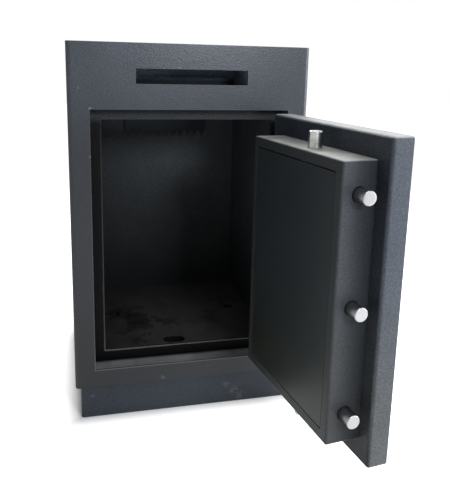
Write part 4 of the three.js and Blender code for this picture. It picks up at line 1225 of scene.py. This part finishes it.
@dataclass(frozen=True)
class Door(Assembly):
    """The slab, its hinge leaves and the boltwork's housing with its cover."""

    slab_low: Triple = (43.0, 0.0, 105.0)
    slab_high: Triple = (407.0, 35.0, 601.0)
    housing_low: Triple = (73.0, 35.0, 138.0)
    housing_high: Triple = (366.0, 91.0, 566.0)
    cover_side: float = 17.8
    cover_end: float = 19.0
    cover_sheet: float = 2.5

    def build(self) -> None:
        """Dresses the door's painted solids."""
        left, _, bottom = self.housing_low
        right, rear, top = self.housing_high
        slab = EdgeBox(self.slab_low, self.slab_high, width=2.6)
        case = EdgeBox(self.housing_low, self.housing_high)
        cover = EdgeBox((left + self.cover_side, rear - self.cover_sheet, bottom + self.cover_end),
                        (right - self.cover_side, rear, top - self.cover_end), width=1.6)
        # Painted shade on the slab's inner face, more of it low down, and on the housing, most next to the
        # slab and evenly over its rear.
        rear_shade = CornerShade(full=-2.0, none=-1.0, share=0.0, rear=35.0, rear_share=0.2, rear_low_share=0.6)
        corner_shade = CornerShade(full=38.0, none=95.0, share=0.44, rear=90.5, rear_share=0.22, rear_low_share=0.22)
        self.paint("slab_paint", SLAB_PAINT, AgeAndShade(dust=1.5, wear=0.6, boxes=(slab,), corner=rear_shade), "door_pan",
                   "hinge_knuckle_door_upper", "hinge_knuckle_door_lower", "door_inner_plate")
        self.paint("housing_paint", DOOR_PAINT, AgeAndShade(dust=1.1, wear=0.5, boxes=(case,), corner=corner_shade),
                   "boltwork_housing")
        self.paint("cover_paint", COVER_PAINT, AgeAndShade(dust=0.3, wear=0.4, boxes=(cover,)), "boltwork_cover",
                   "cover_screw_upper_free", "cover_screw_upper_hinge", "cover_screw_lower_free",
                   "cover_screw_lower_hinge")
        self.cast("door_cast", "door_filling")


@dataclass(frozen=True)
class Boltwork(Assembly):
    """The thrown bolts with their bar and rods, the dogs of the hinge side, and what guides them."""

    radius: float = 11.0
    sides: int = 96
    flat_share: float = 0.5
    chamfer: float = 1.2
    tip_round: float = 0.4
    centre_y: float = 62.0
    side_tip: float = 47.0
    side_foot: float = 111.7
    side_heights: tuple[tuple[str, float], ...] = (("upper", 518.0), ("middle", 352.0), ("lower", 186.0))
    end_x: float = 202.0
    end_tips: tuple[tuple[str, float, float], ...] = (("top", 592.0, 1.0), ("bottom", 112.0, -1.0))
    end_length: float = 92.0
    lap: float = 40.0
    lap_face: float = 62.0
    lap_step: float = 0.02
    lap_touch: float = 1e-6
    dog_radius: float = 8.0
    dog_sides: int = 64
    dog_flange: float = 13.0
    dog_flange_sheet: float = 5.0
    dog_wall: float = 363.2
    dog_tip: float = 400.0
    dog_heights: tuple[tuple[str, float], ...] = (("upper", 462.0), ("lower", 242.0))
    stud: Triple = (0.0, 83.4, 352.0)

    def head(self, tip: float, inward: float) -> Profile:
        """Gives the start of a bolt's profile: a flat tip with a chamfer.

        Args:
            tip: Where the tip lies along the bolt.
            inward: Which way the bolt runs from its tip, 1 or -1.

        Returns:
            Points as (radius, along, rounding).
        """
        return [(0.0, tip, 0.0), (self.radius * self.flat_share, tip, 0.0),
                (self.radius - self.chamfer, tip, self.tip_round),
                (self.radius, tip + inward * self.chamfer, self.tip_round)]

    def side_bolts(self) -> None:
        """Turns the three side bolts: a flat tip, a chamfer and a plain shank."""
        foot = [(self.radius, self.side_foot, 0.3), (0.0, self.side_foot, 0.0)]
        for name, z in self.side_heights:
            tip = (self.side_tip, self.centre_y, z)
            steel = self.metal(f"side_bolt_steel_{name}", TURNED_STEEL, centre=tip, end_highlight=END_HIGHLIGHT_STEEL)
            role = Role(f"turned_side_bolt_{name}", "side_boltwork", "turned_steel", steel,
                        (f"side_bolt_{name}",))
            profile = self.head(self.side_tip, 1.0) + foot
            self.turned(role, profile, (0.0, self.centre_y, z), "x", self.sides)

    def end_bolts(self) -> None:
        """Turns the top and bottom bolts, and flattens their inner ends where the rods lie.

        Rings within the lap have every point in front of the lap's face moved back onto it.
        """
        for name, tip, side in self.end_tips:
            steel = self.metal(f"{name}_bolt_steel", BRIGHT_STEEL, centre=(self.end_x, self.centre_y, tip),
                               axis="z", end_highlight=END_HIGHLIGHT_STEEL)
            foot = tip - side * self.end_length
            edge = foot + side * self.lap
            profile = Former.round_corners(self.head(tip, -side) + [
                (self.radius, edge + side * self.lap_step, 0.0), (self.radius, edge, 0.0),
                (self.radius, foot, 0.0), (0.0, foot, 0.0)])
            rings = Former.lathe(profile[1:-1], (self.end_x, self.centre_y, 0.0), "z", self.sides)
            lapped = (rings[..., 2] - edge) * side <= self.lap_touch
            rings[..., 1] = np.where(lapped, np.maximum(rings[..., 1], self.lap_face), rings[..., 1])
            ends = np.array([[self.end_x, self.centre_y, tip],
                             [self.end_x, self.centre_y + self.radius / 2, foot]])
            if side > 0:
                rings, ends = rings[::-1], ends[::-1]
            role = Role(f"turned_{name}_bolt", f"{name}_boltwork", "turned_steel", steel, (f"{name}_bolt",))
            self.fit(role, rings, ends)

    def dogs(self) -> None:
        """Turns the two fixed dogs of the hinge side, each with its flange behind the housing's wall."""
        back = self.dog_wall - self.dog_flange_sheet
        profile = [(0.0, back, 0.0), (self.dog_flange, back, 0.5), (self.dog_flange, self.dog_wall, 0.3),
                   (self.dog_radius, self.dog_wall, 0.0), (self.dog_radius, self.dog_tip, 1.6),
                   (0.0, self.dog_tip, 0.0)]
        for name, z in self.dog_heights:
            centre = (0.0, self.centre_y, z)
            steel = self.metal(f"dog_steel_{name}", TURNED_STEEL, centre=centre)
            role = Role(f"turned_dog_{name}", "door", "turned_steel", steel, (f"hinge_side_dog_{name}",))
            self.turned(role, profile, centre, "x", self.dog_sides)

    def build(self) -> None:
        """Makes the bolts and dogs, and dresses the flat steel that moves and guides them."""
        self.side_bolts()
        self.end_bolts()
        self.dogs()
        self.metal("rolled_flat_steel", ROLLED_STEEL, "bolt_bar", "top_bolt_rod", "bottom_bolt_rod",
                   "top_rod_screw", "bottom_rod_screw", "side_guide_rail", "top_bolt_guide",
                   "bottom_bolt_guide", "top_rod_guide", "bottom_rod_guide", "spindle_nut", "cam", axis="z")
        self.metal("stud_steel", TURNED_STEEL, "hinge_side_stud", centre=self.stud)


@dataclass(frozen=True)
class Handle(Assembly):
    """The lever on the door's front, its rose, and the spindle through the slab.

    The steps of the hub and of the rose give a share of the radius, a setback and a rounding.
    """

    x: float = 202.0
    z: float = 352.0
    front: float = -30.6
    back: float = -4.6
    hub: float = 14.0
    hub_steps: tuple[Triple, ...] = ((0.55, 0.0, 0.6), (0.9, 1.6, 1.6), (1.0, 5.0, 2.0))
    hub_sides: int = 72
    grip_sides: int = 48
    grip_rings: int = 28
    tip_rings: int = 12
    tip_turn: tuple[float, float] = (0.05, 0.5)
    tip_limit: float = 0.999
    reach: float = 105.0
    root_half: float = 9.0
    tip_half: float = 6.5
    thickness: float = 12.0
    closing: float = 0.9
    power: float = 2.6
    socket: float = 7.3
    socket_front: float = -17.9
    rose_inner: float = 7.5
    rose_radius: float = 26.0
    rose_sides: int = 96
    rose_steps: tuple[Triple, ...] = ((0.66, 0.0, 0.5), (0.72, 0.8, 0.5), (0.92, 1.0, 1.2), (1.0, 2.4, 1.0))
    rose_front: float = -4.3
    rose_back: float = -0.3

    def lever(self, chrome: Material) -> None:
        """Sweeps the lever's grip from the hub to its rounded tip.

        The section at share s of the reach is a superellipse, whose half height shrinks from the root's to
        the tip's and closes as a quarter circle over the last stretch.

        Args:
            chrome: The lever's finish.
        """
        last = 1.0 - self.closing
        tip_turn = np.linspace(*self.tip_turn, self.tip_rings) * np.pi
        share = np.concatenate([np.linspace(0.0, self.closing, self.grip_rings),
                                self.closing + last * np.sin(tip_turn)])
        beyond = np.clip((share - self.closing) / last, 0.0, self.tip_limit)
        close = np.sqrt(1.0 - beyond ** 2)
        half = (self.root_half + (self.tip_half - self.root_half) * share) * close
        deep = self.thickness / 2 * close
        turn = np.linspace(0.0, FULL_TURN, self.grip_sides, endpoint=False)
        cos, sin = Former.superellipse(turn, self.power)
        across = sin * half[:, None]
        x = np.broadcast_to((self.x - self.reach * share)[:, None], across.shape)
        middle = self.front + self.thickness / 2
        rings = np.stack([x, middle + cos * deep[:, None], self.z + across], -1)
        ends = np.array([[self.x, middle, self.z], [self.x - self.reach, middle, self.z]])
        self.fit(Role("formed_handle_grip", "handle", "chromed", chrome), rings, ends)

    def hub_cup(self, chrome: Material) -> None:
        """Turns the hub: a domed cap with a socket for the spindle.

        Args:
            chrome: The hub's finish.
        """
        dome = [(self.hub * share, self.front + setback, rounding)
                for share, setback, rounding in self.hub_steps]
        profile = [(0.0, self.front, 0.0), *dome, (self.hub, self.back, 0.8), (self.socket, self.back, 0.3),
                   (self.socket, self.socket_front, 0.0), (0.0, self.socket_front, 0.0)]
        role = Role("turned_handle_hub", "handle", "chromed", chrome, ("handle_lever",))
        self.turned(role, profile, (self.x, 0.0, self.z), "y", self.hub_sides)

    def rose(self, chrome: Material) -> None:
        """Turns the rose, with a stepped and rounded rim.

        Args:
            chrome: The rose's finish.
        """
        rim = [(self.rose_radius * share, self.rose_front + setback, rounding)
               for share, setback, rounding in self.rose_steps]
        edge = [(self.rose_inner, self.rose_back, 0.0), (self.rose_inner, self.rose_front, 0.0), *rim,
                (self.rose_radius, self.rose_back, 0.0)]
        rings = Former.lathe(Former.round_corners(edge), (self.x, 0.0, self.z), "y", self.rose_sides)
        self.fit(Role("turned_handle_rose", "door", "chromed", chrome, ("handle_rose",)), rings)

    def build(self) -> None:
        """Makes the lever, hub and rose, and dresses the spindle and its bush."""
        centre = (self.x, 0.0, self.z)
        chrome = self.metal("handle_chrome", POLISHED_CHROME)
        self.hub_cup(chrome)
        self.lever(chrome)
        self.rose(chrome)
        self.metal("spindle_steel", TURNED_STEEL, "handle_spindle", centre=centre, axis="y")
        self.metal("bush_brass", PLAIN_BRASS, "spindle_bush", centre=centre, axis="y")


@dataclass(frozen=True)
class Lock(Assembly):
    """The lock's case and bolt, the key and the plate round the keyhole.

    The collar's steps give places along the shank behind its start.
    """

    x: float = 178.0
    z: float = 450.0
    shank: float = 3.5
    shank_sides: int = 48
    shank_start: float = 1.2
    collar: float = 1.4
    collar_steps: tuple[float, ...] = (3.0, 3.6, 6.0, 6.6)
    key_end: float = 47.1
    bit_width: float = 9.0
    bit_reach: float = 11.0
    bit_sheet: float = 3.0
    bit_steps: tuple[float, ...] = (1.0, 0.82, 0.92, 0.78, 1.0)
    bit_slope: float = 0.01
    bit_root_share: float = 0.5
    bow_sides: int = 72
    bow_section_sides: int = 28
    bow_radius: float = 15.0
    bow_hole: float = 8.0
    bow_sheet: float = 3.0
    bow_power: float = 3.0
    proud: float = 18.0

    def key_bow(self, steel: Material) -> None:
        """Forms the key's bow as a flat ring with rounded edges.

        The section is a superellipse that runs round the ring's middle line, in the plane of y and z.

        Args:
            steel: The key's finish.
        """
        turn = np.linspace(0.0, FULL_TURN, self.bow_sides, endpoint=False)[:, None]
        section = np.linspace(0.0, FULL_TURN, self.bow_section_sides, endpoint=False)
        out, side = Former.superellipse(section, self.bow_power)
        radius = (self.bow_radius + self.bow_hole) / 2 + out * (self.bow_radius - self.bow_hole) / 2
        x = np.broadcast_to(self.x + side * self.bow_sheet / 2, (len(turn), len(side)))
        rings = np.stack([x, -self.proud - self.bow_radius + radius * np.cos(turn),
                          self.z + radius * np.sin(turn)], -1)
        self.fit(Role("formed_key_bow", "key", "rolled_steel", steel, ("key",)), rings[:, ::-1])

    def key_shank(self, steel: Material) -> None:
        """Turns the key's shank, with a collar at the bow and a rounded end.

        Args:
            steel: The key's finish.
        """
        start = -self.proud - self.shank_start
        wide = self.shank + self.collar
        foot, low, high, top = (start + step for step in self.collar_steps)
        profile = [(0.0, start, 0.0), (self.shank, start, 0.6), (self.shank, foot, 0.0), (wide, low, 0.4),
                   (wide, high, 0.4), (self.shank, top, 0.0), (self.shank, self.key_end, 1.0),
                   (0.0, self.key_end, 0.0)]
        role = Role("turned_key_shank", "key", "rolled_steel", steel)
        self.turned(role, profile, (self.x, 0.0, self.z), "y", self.shank_sides)

    def key_bit(self, steel: Material) -> None:
        """Forms the key's bit: a flat web whose outer edge is stepped for the levers.

        Rings run along the shank. Each is a rectangle from inside the shank to the step's height.

        Args:
            steel: The key's finish.
        """
        levels = np.repeat(self.bit_reach * np.array(self.bit_steps), 2)
        start = self.key_end - self.bit_width
        places = np.repeat(np.linspace(start, self.key_end, len(self.bit_steps) + 1), 2)[1:-1]
        places[1:-1:2] -= self.bit_slope
        half = self.bit_sheet / 2
        low = np.full_like(levels, self.shank * self.bit_root_share)
        corners = ((-half, low), (-half, levels), (half, levels), (half, low))
        rings = np.stack([np.stack([np.full_like(levels, self.x + dx), places, self.z + dz], -1)
                          for dx, dz in corners], 1)
        self.fit(Role("formed_key_bit", "key", "rolled_steel", steel), rings, rings[[0, -1]].mean(1))

    def build(self) -> None:
        """Makes the key, and dresses the lock and the plate round the keyhole."""
        centre = (self.x, 0.0, self.z)
        steel = self.metal("key_steel", ROLLED_STEEL, centre=centre, axis="y")
        self.key_bow(steel)
        self.key_shank(steel)
        self.key_bit(steel)
        self.metal("keyhole_chrome", POLISHED_CHROME, "key_escutcheon")
        self.metal("lock_case_steel", ROLLED_STEEL, "lock_case", "lock_lid")
        self.metal("lock_brass", PLAIN_BRASS, "key_tube", "lock_bolt", centre=centre, axis="y")


@dataclass(frozen=True)
class Lamp:
    """A square soft lamp: where it hangs and how long its side is, in metres, and its power in watts."""

    name: str
    place: Triple
    size: float
    power: float
    colour: Colour = (1.0, 1.0, 1.0)


@dataclass(frozen=True)
class Studio:
    """The floor, the light and the camera, with the camera's numbers as fitted to the photograph."""

    eye: Triple = (8.367, -1109.849, 688.473)
    yaw: float = 14.203
    pitch: float = 12.05
    roll: float = 1.336
    focal_pixels: float = 607.758
    middle_x: float = 224.627
    middle_y: float = 194.25
    picture: tuple[float, float] = (450.0, 500.0)
    rear_shade: float = 36.0
    clip: tuple[float, float] = (0.02, 60.0)
    ambient: float = 0.08
    floor_half: float = 9.0
    floor_level: float = -0.0006
    floor_tone: Colour = (0.82, 0.82, 0.82)
    floor_roughness: float = 0.9
    floor_glow: tuple[float, ...] = (0.6, 1.4, 0.88, 1.0)
    foot_edge: tuple[float, float] = (0.20, 0.26)
    lamps_target: Triple = (0.0, -0.3, 0.4)
    lamps: tuple[Lamp, ...] = (
        Lamp("side_lamp", (1.9, -0.9, 1.0), 1.9, 33.0),
        Lamp("low_side_lamp", (1.9, -1.1, 0.4), 1.2, 18.0),
        Lamp("front_lamp", (0.42, -1.89, 1.08), 0.35, 13.5, (0.93, 0.975, 1.06)),
        Lamp("back_lamp", (0.2, 1.3, 1.7), 1.4, 45.0),
        Lamp("top_lamp", (0.2, -1.1, 1.9), 0.8, 5.0))

    @staticmethod
    def stand(name: str, data: bpy.types.ID, place: Triple, turn: Matrix) -> bpy.types.Object:
        """Puts a camera or a lamp in its place.

        Args:
            name: The object's name.
            data: The camera or the lamp.
            place: Where it stands, in metres.
            turn: Its rotation.

        Returns:
            The object.
        """
        made = bpy.data.objects.new(name, data)
        bpy.context.scene.collection.objects.link(made)
        made.matrix_world = Matrix.Translation(Vector(place)) @ turn.to_4x4()
        return made

    def camera(self) -> None:
        """Sets up the camera.

        Its forward, right and up vectors come from yaw to the right, pitch down and roll, and its shift
        from where the optical axis meets the picture.
        """
        yaw, pitch, roll = np.radians([self.yaw, self.pitch, self.roll])
        forward = np.array([np.sin(yaw) * np.cos(pitch), np.cos(yaw) * np.cos(pitch), -np.sin(pitch)])
        level = np.array([np.cos(yaw), -np.sin(yaw), 0.0])
        upright = np.cross(level, forward)
        right = level * np.cos(roll) + upright * np.sin(roll)
        above = upright * np.cos(roll) - level * np.sin(roll)
        data = bpy.data.cameras.new("eye")
        data.sensor_fit = "AUTO"
        data.sensor_width = self.rear_shade
        data.lens = self.focal_pixels / self.picture[1] * self.rear_shade
        data.shift_x = (self.picture[0] / 2 - self.middle_x) / self.picture[1]
        data.shift_y = (self.middle_y - self.picture[1] / 2) / self.picture[1]
        data.clip_start, data.clip_end = self.clip
        turn = Matrix([list(row) for row in np.stack([right, above, -forward], 1)])
        place = LAYOUT.place(np.array(self.eye), Hung.CABINET)
        bpy.context.scene.camera = self.stand("eye", data, place, turn)

    def lamp(self, lamp: Lamp) -> None:
        """Hangs a lamp that looks at the lamps' target.

        Args:
            lamp: The lamp.
        """
        data = bpy.data.lights.new(lamp.name, "AREA")
        data.shape = "SQUARE"
        data.size = lamp.size
        data.energy = lamp.power
        data.color = lamp.colour
        aim = (Vector(self.lamps_target) - Vector(lamp.place)).to_track_quat("-Z", "Y").to_matrix()
        self.stand(lamp.name, data, lamp.place, aim)

    def floor(self) -> None:
        """Makes the pale floor, which glows white to camera and gloss but not under the safe itself."""
        signs = np.array([[-1.0, -1.0], [1.0, -1.0], [1.0, 1.0], [-1.0, 1.0]])
        corners = np.column_stack([signs * self.floor_half, np.full(len(signs), self.floor_level)])
        floor = Former.mesh_object("floor", corners, [np.array([[0, 1, 2, 3]])])
        material = bpy.data.materials.new("pale_floor")
        material.use_nodes = True
        sheet = Tree(material.node_tree)
        place = sheet.node("ShaderNodeTexCoord").outputs["Object"]
        far = sheet.ramp(sheet.vector("LENGTH", place), *self.floor_glow)
        x, y, _ = sheet.split(sheet.vector("ABSOLUTE", place))
        outside = sheet.math("MAXIMUM", sheet.ramp(x, *self.foot_edge), sheet.ramp(y, *self.foot_edge))
        shader = sheet.node("ShaderNodeBsdfPrincipled", {
            "Base Color": rgba(self.floor_tone), "Roughness": self.floor_roughness, "Emission Color": WHITE,
            "Emission Strength": sheet.times(sheet.seen(), sheet.times(far, outside))})
        sheet.node("ShaderNodeOutputMaterial", {"Surface": shader.outputs["BSDF"]})
        floor.data.materials.append(material)

    def world(self) -> None:
        """Makes the world: white to camera, gloss and glass, and dimmer as light."""
        world = bpy.data.worlds.new("studio")
        bpy.context.scene.world = world
        world.use_nodes = True
        sky = Tree(world.node_tree)
        strength = sky.ramp(sky.seen(), 0.0, 1.0, self.ambient, 1.0)
        background = sky.node("ShaderNodeBackground", {"Color": WHITE, "Strength": strength})
        sky.node("ShaderNodeOutputWorld", {"Surface": background.outputs["Background"]})

    def build(self) -> None:
        """Sets the view transform, and makes the camera, the floor, the world and the lamps."""
        bpy.context.scene.view_settings.view_transform = "Standard"
        self.camera()
        self.floor()
        self.world()
        for lamp in self.lamps:
            self.lamp(lamp)


def main() -> None:
    """Builds the studio and the safe's sub-assemblies in order."""
    logging.basicConfig(level=logging.INFO, format="%(message)s")
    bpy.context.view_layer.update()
    effects = Effects()
    Studio().build()
    for assembly in (Cabinet, HingePins, Door, Boltwork, Handle, Lock):
        assembly(effects).build()
        LOG.info("finished %s", assembly.__name__)


if __name__ == "__main__":
    main()
